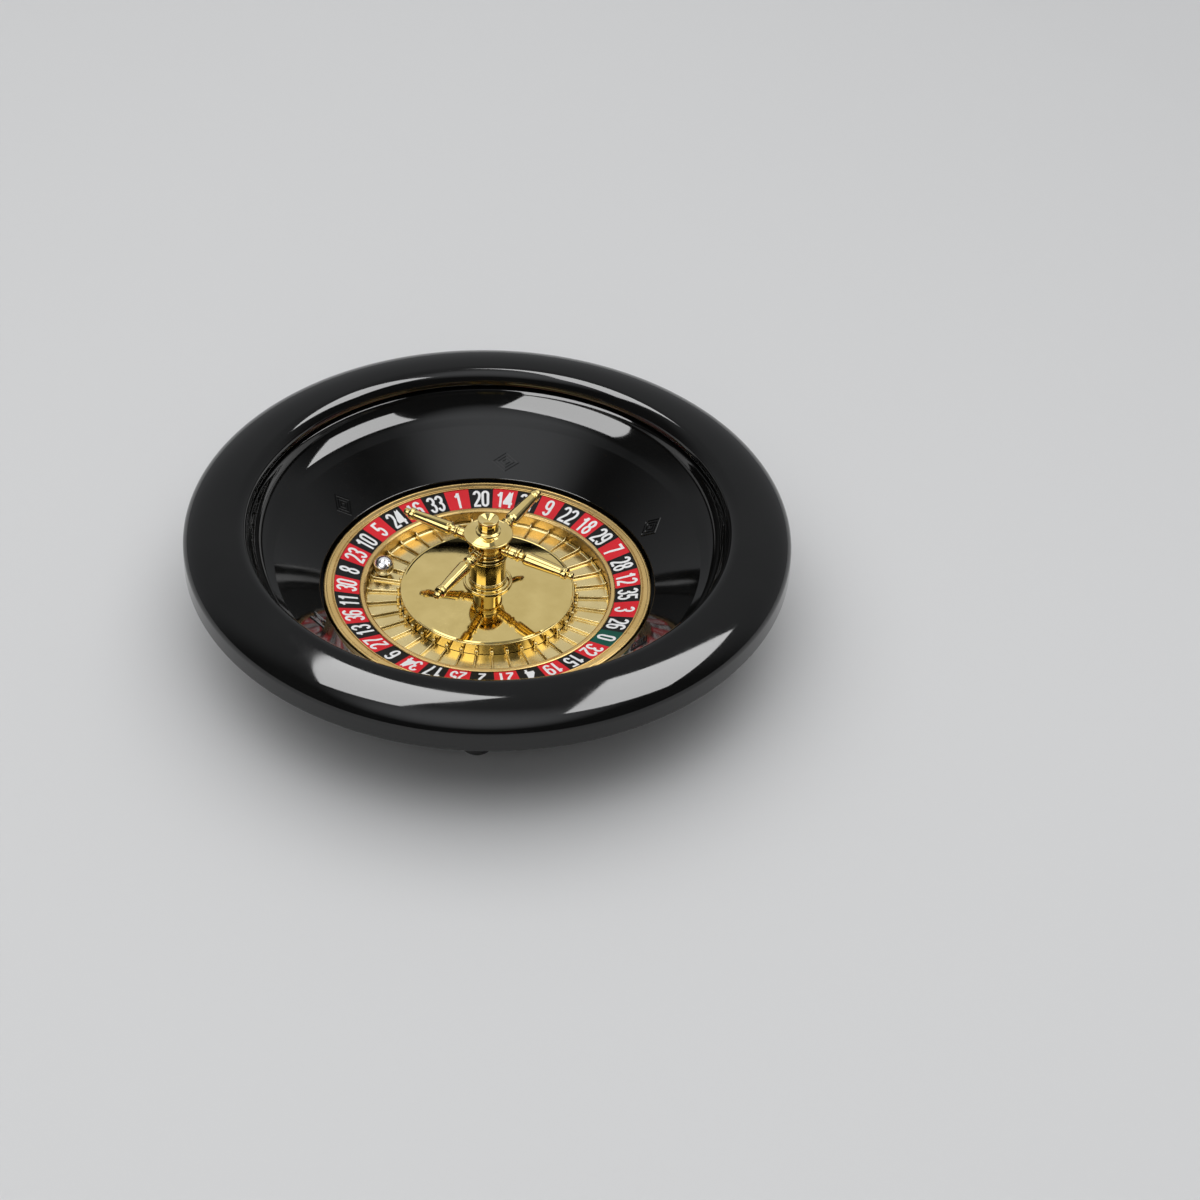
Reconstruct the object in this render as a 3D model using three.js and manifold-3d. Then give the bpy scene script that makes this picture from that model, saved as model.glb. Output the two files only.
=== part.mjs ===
// Table roulette wheel: a moulded bowl with a rolled rim, and a gold wheel that spins in it on a
// steel spindle. Millimetres, +Z up, origin at the centre of the underside, on the table.
import * as THREE from 'three';
import { mergeVertices } from 'three/addons/utils/BufferGeometryUtils.js';
import Module from 'manifold-3d';

const wasm = await Module();
wasm.setup();

// ---- clearances
const runGap = 0.08;        // spindle in its bushes, on the radius
const fitGap = 0.3;         // parts pushed or screwed together, on the radius
const rotorGap = 1.6;       // wheel edge to bowl edge
const labelGap = 0.1;       // printed ring over its seat
const seatGap = 0.05;       // between faces that rest on each other
const cutPast = 1;          // a cut runs this far past what it goes through

// ---- bowl
const rimRadius = 150;      // overall size, to the outside of the rim
const rimWidth = 32;        // outside of the rim to its inner lip
const rimWall = 2.6;
const rimSkirt = 8.6;       // upright band below the rim's crease
const rimRise = 11.1;       // crease to crest
const rimRoll = 7;          // radius of the roll from the crest down to the lip
const bowlWall = 2.6;
const footHeight = 6;
const floorWall = 2.6;
const wellRise = 1.5;       // bowl's edge above the wheel's face
const coneSlope = 38;       // degrees, from the wheel's edge up to the ball track
const trackWidth = 12;      // ball track, seen from above
const trackRise = 14;
const trackCurve = 25;      // degrees, how far the track bends either side of its chord
const trackSteps = 4;
const rimLip = 0.6;         // straight edge below the roll
const rimSeat = 0.6;        // rim's crease, below the top of the bowl's flange
const baseFlange = 16;      // foot flange, outwards from the well
const ribCount = 8;
const ribThickness = 2;
const ribInset = 3;         // ribs stop short of the flange's edge
const bossRadius = 9;       // floor boss that carries the spindle
const bossRise = 0.8;

// ---- wheel
const wheelRadius = 82;
const ringZ = 24;           // height of the wheel's face above the table
const bandWidth = 5.3;      // gold band outside the numbers
const bandProud = 0.6;
const labelWidth = 12.6;
const labelDrop = 2.9;      // the numbers slope down this far towards the centre
const labelThickness = 0.4;
const beadWidth = 2.9;      // gold bead inside the numbers
const beadProud = 0.7;
const pocketLength = 17.5;
const pocketDepthOuter = 9.8;   // below the wheel's face
const pocketDepthInner = 9.3;
const pocketCount = 37;
const pocketWall = 1;
const fretThickness = 1.2;
const fretHeight = 1.6;
const fretDraft = 0.15;
const zeroAngle = -30.74;   // degrees from +X to the middle of the zero pocket
const wheelWall = 2;
const wheelSkirt = 8;
const coneDropEdge = 3;     // edge of the centre cone, below the wheel's face
const coneRiseTop = 1.5;    // top of the centre cone, above the wheel's face
const coneWall = 1;
const hubRadius = 12.3;

// ---- spindle and bearings
const spindleRadius = 3;
const spindleTip = 42;
const spindleFlangeRadius = 7;
const spindleFlangeThickness = 1.4;
const thrustThickness = 0.8;
const bushWall = 2;
const bushFlange = 0.9;
const upperBushWall = 2.62;
const upperBushLength = 5.6;
const nutFlats = 10;
const nutHeight = 3;
const washerThickness = 1;
const washerRadius = 6.2;
const spindleChamfer = 0.5;
const spindleTail = 0.6;    // thread beyond the nut

// ---- turret
const spigotRadius = 8.4;
const spigotLength = 6;
const columnRadius = 9;
const columnHeight = 20.5;  // cone top to the underside of the hub
const columnBase = 12.4;
const columnBaseThickness = 1.3;
const collarProud = 0.7;
const lowCollarHeight = 3;
const highCollarHeight = 3.6;
const columnWeb = 3;
const hubBodyRadius = 8.5;
const hubBodyHeight = 9.2;
const armDrop = 5.2;        // arm axis below the hub's top
const plateRadius = 12.2;
const plateEdge = 1.4;
const plateRise = 1.2;
const capBaseRadius = 6.3;
const capRadius = 5.26;
const capNeck = 4.95;
const capHeight = 7.7;
const capDish = 1.1;
const studRadius = 2.3;
const studLength = 13;
const armCount = 4;
const armAngle = -28.4;     // degrees from +X to the first arm
const armReach = 48.9;
const armSpigot = 1.6;
const armSocketDepth = 3.6;
const armRoot = 2.95;
const armRootLength = 8;
const armRing = 3.3;
const armRingWidth = 1;
const armNeck = 2.3;
const armNeckLength = 2.2;
const armBody = 3.5;        // wide end of the taper
const armSwell = 1;
const armSlim = 2.5;        // narrow end of the taper
const armCollar = 3.05;
const armCollarWidth = 3;
const armTip = 1.9;
const armTipLength = 3.2;
const armTipRound = 0.8;
const armStep = 0.6;        // length of the slope at each change of radius

// ---- ball
const ballRadius = 5.4;
const ballPocket = 17;      // pockets clockwise from zero
const ballRest = 0.05;

// ---- fastenings
const rimScrewCount = 6;
const rimScrewRadius = 1.4;
const rimScrewHead = 3.2;
const rimScrewHeadHeight = 1.8;
const rimScrewHeadRound = 0.6;
const rimScrewPoint = 1;
const rimScrewGrip = 5.5;
const rimBossRadius = 4;
const rimScrewInset = 17;   // screw axes, in from the outside of the rim
const footCount = 4;
const footRadius = 7.5;
const footStem = 2.9;
const footBarb = 4;
const footBarbLength = 2.4;
const footBarbTaper = 0.6;
const footRound = 1;

// ---- how finely round things are cut
const bowlSides = 56;
const wheelSides = 2 * pocketCount;
const hiddenSides = 48;
const turretSides = 24;
const smallSides = 12;
const screwSides = 8;
const armSides = 10;

// ---- worked out from the above
const rad = THREE.MathUtils.degToRad;
const floorBottom = footHeight;
const floorTop = floorBottom + floorWall;
const bossTop = floorTop + bossRise;
const labelOuter = wheelRadius - bandWidth;
const labelInner = labelOuter - labelWidth;
const pocketOuter = labelInner - beadWidth;
const coneRadius = pocketOuter - pocketLength;
const wellRadius = wheelRadius + rotorGap;
const wellTop = ringZ + wellRise;
const baseRadius = wellRadius + bowlWall + baseFlange;
const footCircle = baseRadius - baseFlange / 2;
const lipRadius = rimRadius - rimWidth;
const creaseRadius = lipRadius - trackWidth;
const creaseZ = wellTop + (creaseRadius - wellRadius) * Math.tan(rad(coneSlope));
const trackTop = creaseZ + trackRise;
const flangeTop = trackTop + fitGap;
const flangeRadius = rimRadius - rimWall - fitGap;
const rimScrewCircle = rimRadius - rimScrewInset;
const rimCreaseZ = flangeTop - rimSeat;
const crestZ = rimCreaseZ + rimRise;
const lipZ = crestZ - rimRoll - rimLip;
const coneEdgeZ = ringZ - coneDropEdge;
const coneTopZ = ringZ + coneRiseTop;
const hubTop = coneTopZ - coneWall;
const spindleFlangeTop = bossTop + spindleFlangeThickness;
const thrustTop = spindleFlangeTop + thrustThickness;
const hubBottom = thrustTop + bushFlange;
const bushBore = spindleRadius + runGap;
const bushRadius = bushBore + bushWall;
const hubBore = bushRadius + fitGap;
const columnBore = bushBore + upperBushWall + fitGap;
const collarRadius = columnRadius + collarProud;
const columnTop = coneTopZ + columnHeight;
const hubBodyTop = columnTop + hubBodyHeight;
const armZ = hubBodyTop - armDrop;
const plateTop = hubBodyTop + plateEdge + plateRise;
const capTop = plateTop + capHeight;
const pocketSlope = (pocketDepthOuter - pocketDepthInner) / pocketLength;
const pocketFloor = (r) => ringZ - pocketDepthInner - (r - coneRadius) * pocketSlope;
const pocketAngle = (k) => rad(zeroAngle - k * 360 / pocketCount);

const bodies = new THREE.Group();

// ---- helpers
function clean(geometry) {
  const bare = geometry.index ? geometry.toNonIndexed() : geometry.clone();
  bare.deleteAttribute('normal');
  bare.deleteAttribute('uv');
  const merged = mergeVertices(bare, 1e-5);
  const index = merged.index.array;
  const kept = [];
  for (let i = 0; i < index.length; i += 3) {
    const [a, b, c] = [index[i], index[i + 1], index[i + 2]];
    if (a !== b && b !== c && c !== a) kept.push(a, b, c);
  }
  merged.setIndex(kept);
  return merged;
}

function toSolid(geometry) {
  const bare = clean(geometry);
  const vertProperties = new Float32Array(bare.attributes.position.array);
  const triVerts = new Uint32Array(bare.index.array);
  return new wasm.Manifold(new wasm.Mesh({ numProp: 3, vertProperties, triVerts }));
}

function toGeometry(solid) {
  const mesh = solid.getMesh();
  const geometry = new THREE.BufferGeometry();
  geometry.setAttribute('position', new THREE.BufferAttribute(mesh.vertProperties, 3));
  geometry.setIndex(Array.from(mesh.triVerts));
  return geometry;
}

// Turns a closed outline of [radius, height] pairs, listed anticlockwise, round the Z axis.
function revolve(outline, sides) {
  const area = outline.reduce((sum, [r, z], i) => {
    const [r2, z2] = outline[(i + 1) % outline.length];
    return sum + r * z2 - r2 * z;
  }, 0);
  const loop = area > 0 ? outline : [...outline].reverse();
  const points = loop.map(([r, z]) => new THREE.Vector2(r, z));
  points.push(points[0].clone());
  const geometry = new THREE.LatheGeometry(points, sides);
  geometry.rotateX(Math.PI / 2);
  return clean(geometry);
}

// Points along an arc from a to b that bends by "bend" degrees either side of the chord.
function arcTo(a, b, bend, steps) {
  const chord = Math.hypot(b[0] - a[0], b[1] - a[1]);
  const along = Math.atan2(b[1] - a[1], b[0] - a[0]);
  const radius = chord / (2 * Math.sin(rad(bend)));
  const start = along - rad(bend);
  const points = [];
  for (let i = 1; i <= steps; i += 1) {
    const turn = 2 * rad(bend) * i / steps;
    points.push([
      a[0] + radius * (Math.sin(start + turn) - Math.sin(start)),
      a[1] - radius * (Math.cos(start + turn) - Math.cos(start)),
    ]);
  }
  return points;
}

// Points on an ellipse, both ends included, angles in degrees.
function ellipse(centre, radii, from, to, steps) {
  return Array.from({ length: steps + 1 }, (_, i) => {
    const angle = rad(from + (to - from) * i / steps);
    return [centre[0] + radii[0] * Math.cos(angle), centre[1] + radii[1] * Math.sin(angle)];
  });
}

// The path shifted sideways by "distance", to its right.
function offsetPath(path, distance) {
  return path.map((point, i) => {
    const before = path[Math.max(i - 1, 0)];
    const after = path[Math.min(i + 1, path.length - 1)];
    const inDirection = Math.atan2(point[1] - before[1], point[0] - before[0]);
    const outDirection = Math.atan2(after[1] - point[1], after[0] - point[0]);
    const first = i === 0 ? outDirection : inDirection;
    const last = i === path.length - 1 ? inDirection : outDirection;
    const bend = Math.atan2(Math.sin(last - first), Math.cos(last - first)) / 2;
    const normal = first + bend - Math.PI / 2;
    const reach = distance / Math.cos(bend);
    return [point[0] + reach * Math.cos(normal), point[1] + reach * Math.sin(normal)];
  });
}

function rod(radius, bottom, top, sides) {
  const geometry = new THREE.CylinderGeometry(radius, radius, top - bottom, sides);
  geometry.rotateX(Math.PI / 2);
  geometry.translate(0, 0, (top + bottom) / 2);
  return geometry;
}

function atPolar(geometry, circle, angle) {
  return geometry.clone().translate(circle * Math.cos(angle), circle * Math.sin(angle), 0);
}

function addPart(name, geometry, material) {
  const mesh = new THREE.Mesh(geometry, material);
  mesh.name = name;
  bodies.add(mesh);
  return mesh;
}

function finish(color, roughness, metalness) {
  return new THREE.MeshStandardMaterial({ color, roughness, metalness });
}

const blackPlastic = finish(0x141414, 0.15, 0);
const mirrorGold = finish(0xd9b65a, 0.08, 1);
const satinGold = finish(0xc9a24e, 0.3, 1);
const steel = finish(0xb8bcc0, 0.25, 1);
const polishedSteel = finish(0xd6d8da, 0.06, 1);
const brass = finish(0xb08d4a, 0.35, 1);
const nylon = finish(0xe8e4d8, 0.5, 0);
const rubber = finish(0x1d1d1d, 0.85, 0);
const printedRing = finish(0xc02028, 0.35, 0);

// ---- bowl: one sheet, from the well wall up the cone and the ball track to the rim's flange
function bowlInside() {
  return [
    [wellRadius, floorTop],
    [wellRadius, wellTop],
    [creaseRadius, creaseZ],
    ...arcTo([creaseRadius, creaseZ], [lipRadius, trackTop], trackCurve, trackSteps),
    [lipRadius + fitGap, flangeTop],
    [flangeRadius, flangeTop],
  ];
}

function makeBowl() {
  const inside = bowlInside();
  const outside = offsetPath(inside, bowlWall).slice(1);
  const holeRadius = spindleRadius + fitGap;
  const shell = revolve([
    [holeRadius, floorBottom],
    [baseRadius, floorBottom],
    [baseRadius, floorTop],
    [wellRadius + bowlWall, floorTop],
    ...outside,
    ...[...inside].reverse(),
    [bossRadius, floorTop],
    [bossRadius, bossTop],
    [holeRadius, bossTop],
  ], bowlSides);
  let solid = toSolid(shell);
  const middle = offsetPath(inside, bowlWall / 2);
  const trackMiddle = 3 + trackSteps / 2;
  const ribTop = [...middle.slice(1, 3), middle[trackMiddle]];
  const ribFoot = baseRadius - ribInset;
  const ribOutline = [
    [wellRadius + bowlWall / 2, floorTop - floorWall / 2],
    [ribFoot, floorTop - floorWall / 2],
    [ribFoot, floorTop + floorWall],
    ...ribTop.reverse(),
  ];
  const shape = new THREE.Shape(ribOutline.map(([r, z]) => new THREE.Vector2(r, z)));
  const rib = new THREE.ExtrudeGeometry(shape, { depth: ribThickness, bevelEnabled: false });
  rib.translate(0, 0, -ribThickness / 2);
  rib.rotateX(Math.PI / 2);
  for (let i = 0; i < ribCount; i += 1) {
    const turned = rib.clone().rotateZ((i + 0.5) * 2 * Math.PI / ribCount);
    solid = solid.add(toSolid(turned));
  }
  const footHole = rod(footStem + fitGap, floorBottom - cutPast, floorTop + cutPast, smallSides);
  for (let i = 0; i < footCount; i += 1) {
    const angle = i * 2 * Math.PI / footCount;
    solid = solid.subtract(toSolid(atPolar(footHole, footCircle, angle)));
  }
  const screwHoleFoot = flangeTop - bowlWall - cutPast;
  const screwHole = rod(rimScrewRadius + fitGap, screwHoleFoot, flangeTop + cutPast, screwSides);
  for (let i = 0; i < rimScrewCount; i += 1) {
    const angle = i * 2 * Math.PI / rimScrewCount;
    solid = solid.subtract(toSolid(atPolar(screwHole, rimScrewCircle, angle)));
  }
  addPart('bowl_shell', toGeometry(solid), blackPlastic);
}

// ---- rim: a rolled moulding, open below, with bosses that stand on the bowl's flange
function makeRim() {
  const crestRadius = lipRadius + rimRoll;
  const outside = [
    [rimRadius, rimCreaseZ - rimSkirt],
    ...ellipse([crestRadius, rimCreaseZ], [rimRadius - crestRadius, rimRise], 0, 90, 6),
    ...ellipse([crestRadius, crestZ - rimRoll], [rimRoll, rimRoll], 90, 180, 4).slice(1),
    [lipRadius, lipZ],
  ];
  const inside = offsetPath(outside, -rimWall);
  let solid = toSolid(revolve([...outside, ...inside.reverse()], bowlSides));
  const bossTopZ = flangeTop + rimScrewGrip + rimWall;
  const boss = rod(rimBossRadius, flangeTop + seatGap, bossTopZ, screwSides);
  const boreTop = flangeTop + rimScrewGrip + fitGap;
  const bore = rod(rimScrewRadius + fitGap / 2, flangeTop - cutPast, boreTop, screwSides);
  for (let i = 0; i < rimScrewCount; i += 1) {
    const angle = i * 2 * Math.PI / rimScrewCount;
    solid = solid.add(toSolid(atPolar(boss, rimScrewCircle, angle)));
    solid = solid.subtract(toSolid(atPolar(bore, rimScrewCircle, angle)));
  }
  addPart('rim_ring', toGeometry(solid), blackPlastic);
  const headTop = flangeTop - bowlWall - seatGap;
  const screw = revolve([
    [0, headTop - rimScrewHeadHeight],
    [rimScrewHead - rimScrewHeadRound, headTop - rimScrewHeadHeight],
    [rimScrewHead, headTop - rimScrewHeadHeight / 2],
    [rimScrewHead, headTop],
    [rimScrewRadius, headTop],
    [rimScrewRadius, flangeTop + rimScrewGrip - rimScrewPoint],
    [0, flangeTop + rimScrewGrip],
  ], screwSides);
  for (let i = 0; i < rimScrewCount; i += 1) {
    const angle = i * 2 * Math.PI / rimScrewCount;
    addPart(`rim_screw_${i + 1}`, atPolar(screw, rimScrewCircle, angle), steel);
  }
}

// ---- feet: rubber buttons whose barbed stems push through the foot flange
function makeFeet() {
  const barbBottom = floorTop + fitGap;
  const foot = revolve([
    [0, 0],
    [footRadius - footRound, 0],
    [footRadius, footRound],
    [footRadius, floorBottom - seatGap],
    [footStem, floorBottom - seatGap],
    [footStem, barbBottom],
    [footBarb, barbBottom],
    [footStem - footBarbTaper, barbBottom + footBarbLength],
    [0, barbBottom + footBarbLength],
  ], smallSides);
  for (let i = 0; i < footCount; i += 1) {
    const angle = i * 2 * Math.PI / footCount;
    addPart(`foot_${i + 1}`, atPolar(foot, footCircle, angle), rubber);
  }
}

// ---- spindle, its nut and washer, and what the wheel turns on
function makeSpindle() {
  const washerTop = floorBottom - seatGap;
  const nutTop = washerTop - washerThickness;
  const nutBottom = nutTop - nutHeight;
  addPart('spindle', revolve([
    [0, nutBottom - spindleTail],
    [spindleRadius - spindleChamfer, nutBottom - spindleTail],
    [spindleRadius, nutBottom],
    [spindleRadius, bossTop + seatGap],
    [spindleFlangeRadius, bossTop + seatGap],
    [spindleFlangeRadius, spindleFlangeTop],
    [spindleRadius, spindleFlangeTop],
    [spindleRadius, spindleTip - spindleRadius / 2],
    [spindleRadius / 2, spindleTip],
    [0, spindleTip],
  ], turretSides), steel);
  addPart('spindle_washer', ring(spindleRadius + fitGap, washerRadius, nutTop, washerTop, smallSides), steel);
  const hexagon = new THREE.Shape();
  for (let i = 0; i < 6; i += 1) {
    const corner = nutFlats / Math.sqrt(3);
    const angle = i * Math.PI / 3;
    if (i === 0) hexagon.moveTo(corner * Math.cos(angle), corner * Math.sin(angle));
    else hexagon.lineTo(corner * Math.cos(angle), corner * Math.sin(angle));
  }
  hexagon.closePath();
  const bore = new THREE.Path();
  bore.absarc(0, 0, spindleRadius + fitGap / 2, 0, 2 * Math.PI, true);
  hexagon.holes.push(bore);
  const nut = new THREE.ExtrudeGeometry(hexagon, { depth: nutHeight, bevelEnabled: false, curveSegments: 8 });
  nut.translate(0, 0, nutBottom);
  addPart('spindle_nut', clean(nut), steel);
  addPart('thrust_washer', ring(bushBore, spindleFlangeRadius, spindleFlangeTop, thrustTop, turretSides), nylon);
}

function ring(inner, outer, bottom, top, sides) {
  return revolve([[inner, bottom], [outer, bottom], [outer, top], [inner, top]], sides);
}

// ---- wheel: a carrier plate on the bushes, the pocket ring, the number frame and the cone
function makeWheel() {
  const seat = (r) => pocketFloor(r) - pocketWall - fitGap;
  const socketRadius = spigotRadius + fitGap;
  const socketBottom = coneTopZ - spigotLength - fitGap;
  const plateEdgeRadius = pocketOuter + wheelWall;
  addPart('wheel_base', revolve([
    [hubBore, hubBottom],
    [hubRadius, hubBottom],
    [hubRadius, seat(coneRadius) - wheelWall],
    [coneRadius, seat(coneRadius) - wheelWall],
    [plateEdgeRadius, seat(pocketOuter) - wheelWall],
    [plateEdgeRadius, seat(pocketOuter)],
    [pocketOuter, seat(pocketOuter)],
    [coneRadius, seat(coneRadius)],
    [hubRadius, seat(coneRadius)],
    [hubRadius, hubTop],
    [socketRadius, hubTop],
    [socketRadius, socketBottom],
    [hubBore, socketBottom],
  ], hiddenSides), blackPlastic);

  const frameFoot = seat(pocketOuter) + fitGap;
  const bandTop = ringZ + bandProud;
  const seatDrop = labelThickness + labelGap;
  const labelInnerZ = ringZ - labelDrop;
  const beadTop = labelInnerZ + beadProud;
  const edge = 0.8;
  addPart('number_frame', revolve([
    [pocketOuter, frameFoot],
    [plateEdgeRadius, frameFoot],
    [plateEdgeRadius, labelInnerZ - seatDrop - wheelWall],
    [wheelRadius - wheelWall, ringZ - seatDrop - wheelWall],
    [wheelRadius - wheelWall, bandTop - wheelSkirt],
    [wheelRadius, bandTop - wheelSkirt],
    [wheelRadius, bandTop - edge],
    [wheelRadius - edge, bandTop],
    [labelOuter, bandTop],
    [labelOuter, ringZ - seatDrop],
    [labelInner, labelInnerZ - seatDrop],
    [labelInner, beadTop - edge / 2],
    [labelInner - edge, beadTop],
    [pocketOuter + edge, beadTop],
    [pocketOuter, beadTop - edge / 2],
  ], wheelSides), satinGold);
  const printOuter = labelOuter - labelGap;
  const printInner = labelInner + labelGap;
  addPart('number_ring', revolve([
    [printInner, labelInnerZ - labelThickness],
    [printOuter, ringZ - labelThickness],
    [printOuter, ringZ],
    [printInner, labelInnerZ],
  ], wheelSides), printedRing);

  const bore = spigotRadius + fitGap;
  addPart('centre_cone', revolve([
    [bore, coneTopZ - coneWall],
    [columnBase, coneTopZ - coneWall],
    [coneRadius - coneWall, coneEdgeZ - coneWall],
    [coneRadius - coneWall, seat(coneRadius) + fitGap],
    [coneRadius, seat(coneRadius) + fitGap],
    [coneRadius, coneEdgeZ],
    [columnBase, coneTopZ],
    [bore, coneTopZ],
  ], hiddenSides), mirrorGold);
  addPart('pocket_ring', pocketRing(), mirrorGold);

  addPart('lower_bush', revolve([
    [bushBore, thrustTop],
    [spindleFlangeRadius, thrustTop],
    [spindleFlangeRadius, hubBottom],
    [bushRadius, hubBottom],
    [bushRadius, socketBottom],
    [bushBore, socketBottom],
  ], turretSides), brass);
}

// The pocket floor and its frets in one closed skin: four stations round each fret carry the same
// outline, raised on the fret and low between frets, so neighbouring stations join up.
function pocketRing() {
  const inner = coneRadius + fitGap;
  const outer = pocketOuter - fitGap;
  const top = (r, lift) => [r, pocketFloor(r) + lift];
  const stations = [];
  for (let k = 0; k < pocketCount; k += 1) {
    const middle = (pocketAngle(k) + pocketAngle(k + 1)) / 2;
    const half = fretThickness / 2;
    stations.push([middle, -half - fretDraft, 0], [middle, -half, fretHeight]);
    stations.push([middle, half, fretHeight], [middle, half + fretDraft, 0]);
  }
  const outline = (lift) => [
    [inner, pocketFloor(inner) - pocketWall],
    [outer, pocketFloor(outer) - pocketWall],
    top(outer, lift),
    top(inner, lift),
  ];
  stations.sort((a, b) => (a[0] + a[1] / outer) - (b[0] + b[1] / outer));
  const positions = [];
  const index = [];
  for (const [angle, shift, lift] of stations) {
    for (const [r, z] of outline(lift)) {
      const turn = angle + Math.asin(shift / r);
      positions.push(r * Math.cos(turn), r * Math.sin(turn), z);
    }
  }
  const count = outline(0).length;
  for (let s = 0; s < stations.length; s += 1) {
    const next = (s + 1) % stations.length;
    for (let j = 0; j < count; j += 1) {
      const k = (j + 1) % count;
      const [a, b] = [s * count + j, s * count + k];
      const [c, d] = [next * count + k, next * count + j];
      index.push(a, c, b, a, d, c);
    }
  }
  const geometry = new THREE.BufferGeometry();
  geometry.setAttribute('position', new THREE.Float32BufferAttribute(positions, 3));
  geometry.setIndex(index);
  return geometry;
}

// ---- turret: column, hub with its arms, plate and cap
function makeTurret() {
  const spigotBottom = coneTopZ - spigotLength;
  const baseTop = coneTopZ + columnBaseThickness;
  const webBottom = columnTop - columnWeb;
  const studHole = studRadius + fitGap;
  const slope = 0.2;
  addPart('turret_column', revolve([
    [columnBore, spigotBottom],
    [spigotRadius, spigotBottom],
    [spigotRadius, coneTopZ],
    [columnBase, coneTopZ],
    [columnBase, baseTop - slope],
    [columnBase - slope, baseTop],
    [columnRadius + 2 * slope, baseTop],
    [columnRadius + 2 * slope, baseTop + lowCollarHeight - slope],
    [columnRadius, baseTop + lowCollarHeight],
    [columnRadius, columnTop - highCollarHeight - slope],
    [collarRadius, columnTop - highCollarHeight],
    [collarRadius, columnTop - slope],
    [collarRadius - slope, columnTop],
    [studHole, columnTop],
    [studHole, webBottom],
    [columnBore, webBottom],
  ], turretSides), mirrorGold);
  const bushTop = webBottom - fitGap;
  const bushOuter = bushBore + upperBushWall;
  addPart('upper_bush', ring(bushBore, bushOuter, bushTop - upperBushLength, bushTop, turretSides), brass);

  let hub = toSolid(ring(studHole, hubBodyRadius, columnTop, hubBodyTop, turretSides));
  const socketStart = hubBodyRadius - armSocketDepth - fitGap;
  const socket = rod(armSpigot + fitGap, socketStart, hubBodyRadius + cutPast, screwSides).rotateY(Math.PI / 2);
  for (let i = 0; i < armCount; i += 1) {
    const angle = rad(armAngle) + i * 2 * Math.PI / armCount;
    hub = hub.subtract(toSolid(socket.clone().rotateZ(angle).translate(0, 0, armZ)));
  }
  addPart('turret_hub', toGeometry(hub), mirrorGold);

  addPart('turret_plate', revolve([
    [studHole, hubBodyTop],
    [plateRadius - slope, hubBodyTop],
    [plateRadius, hubBodyTop + slope],
    [plateRadius, hubBodyTop + plateEdge],
    [capBaseRadius, plateTop],
    [studHole, plateTop],
  ], turretSides), mirrorGold);

  const capStep = 0.8;
  addPart('turret_cap', revolve([
    [0, plateTop - studLength],
    [studRadius, plateTop - studLength],
    [studRadius, plateTop],
    [capBaseRadius, plateTop],
    [capBaseRadius, plateTop + capStep / 2],
    [capNeck, plateTop + capStep],
    [capRadius, capTop - capStep],
    [capRadius, capTop - slope],
    [capRadius - slope, capTop],
    [capRadius - capStep, capTop - slope],
    [0, capTop - capDish],
  ], turretSides), mirrorGold);

  const arm = armShape();
  for (let i = 0; i < armCount; i += 1) {
    const angle = rad(armAngle) + i * 2 * Math.PI / armCount;
    const holder = new THREE.Group();
    holder.position.z = armZ;
    holder.rotation.z = angle;
    const mesh = new THREE.Mesh(arm, mirrorGold.clone());
    mesh.name = `turret_arm_${i + 1}`;
    mesh.rotation.y = Math.PI / 2;
    holder.add(mesh);
    bodies.add(holder);
  }
}

// One turned arm along +Z: spigot, root, ring, neck, a long taper, a collar and a rounded tip.
function armShape() {
  const root = hubBodyRadius + fitGap;
  const ringStart = root + armRootLength + armStep;
  const neckStart = ringStart + armRingWidth + armStep;
  const neckEnd = neckStart + armNeckLength;
  const collarEnd = armReach - armTipLength;
  const collarStart = collarEnd - armCollarWidth;
  return revolve([
    [0, root - armSocketDepth],
    [armSpigot, root - armSocketDepth],
    [armSpigot, root],
    [armRoot, root],
    [armRoot, root + armRootLength],
    [armRing, ringStart],
    [armRing, ringStart + armRingWidth],
    [armNeck, neckStart],
    [armNeck, neckEnd],
    [armBody, neckEnd + armSwell],
    [armSlim, collarStart - armStep],
    [armCollar, collarStart],
    [armCollar, collarEnd],
    [armTip, collarEnd + armStep],
    [armTip, armReach - armTipRound],
    [armTip - armTipRound, armReach],
    [0, armReach],
  ], armSides);
}

// ---- ball, at rest against the outer wall of its pocket
function makeBall() {
  const slope = Math.atan(pocketSlope);
  const circle = pocketOuter - fitGap - ballRadius;
  const touch = circle - ballRadius * Math.sin(slope);
  const height = pocketFloor(touch) + ballRadius * Math.cos(slope) + ballRest;
  const angle = pocketAngle(ballPocket);
  const ball = clean(new THREE.SphereGeometry(ballRadius, 18, 12));
  const mesh = addPart('steel_ball', ball, polishedSteel);
  mesh.position.set(circle * Math.cos(angle), circle * Math.sin(angle), height);
}

makeBowl();
makeRim();
makeFeet();
makeSpindle();
makeWheel();
makeTurret();
makeBall();

export default bodies;
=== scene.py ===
# Table roulette wheel: a black moulded bowl with a rolled rim, a gold wheel with its printed
# number ring and mirror cone, a turret with four turned arms, and a steel ball.
import math
import bpy
import bmesh
from mathutils import Matrix, Vector
from mathutils.geometry import delaunay_2d_cdt


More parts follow.
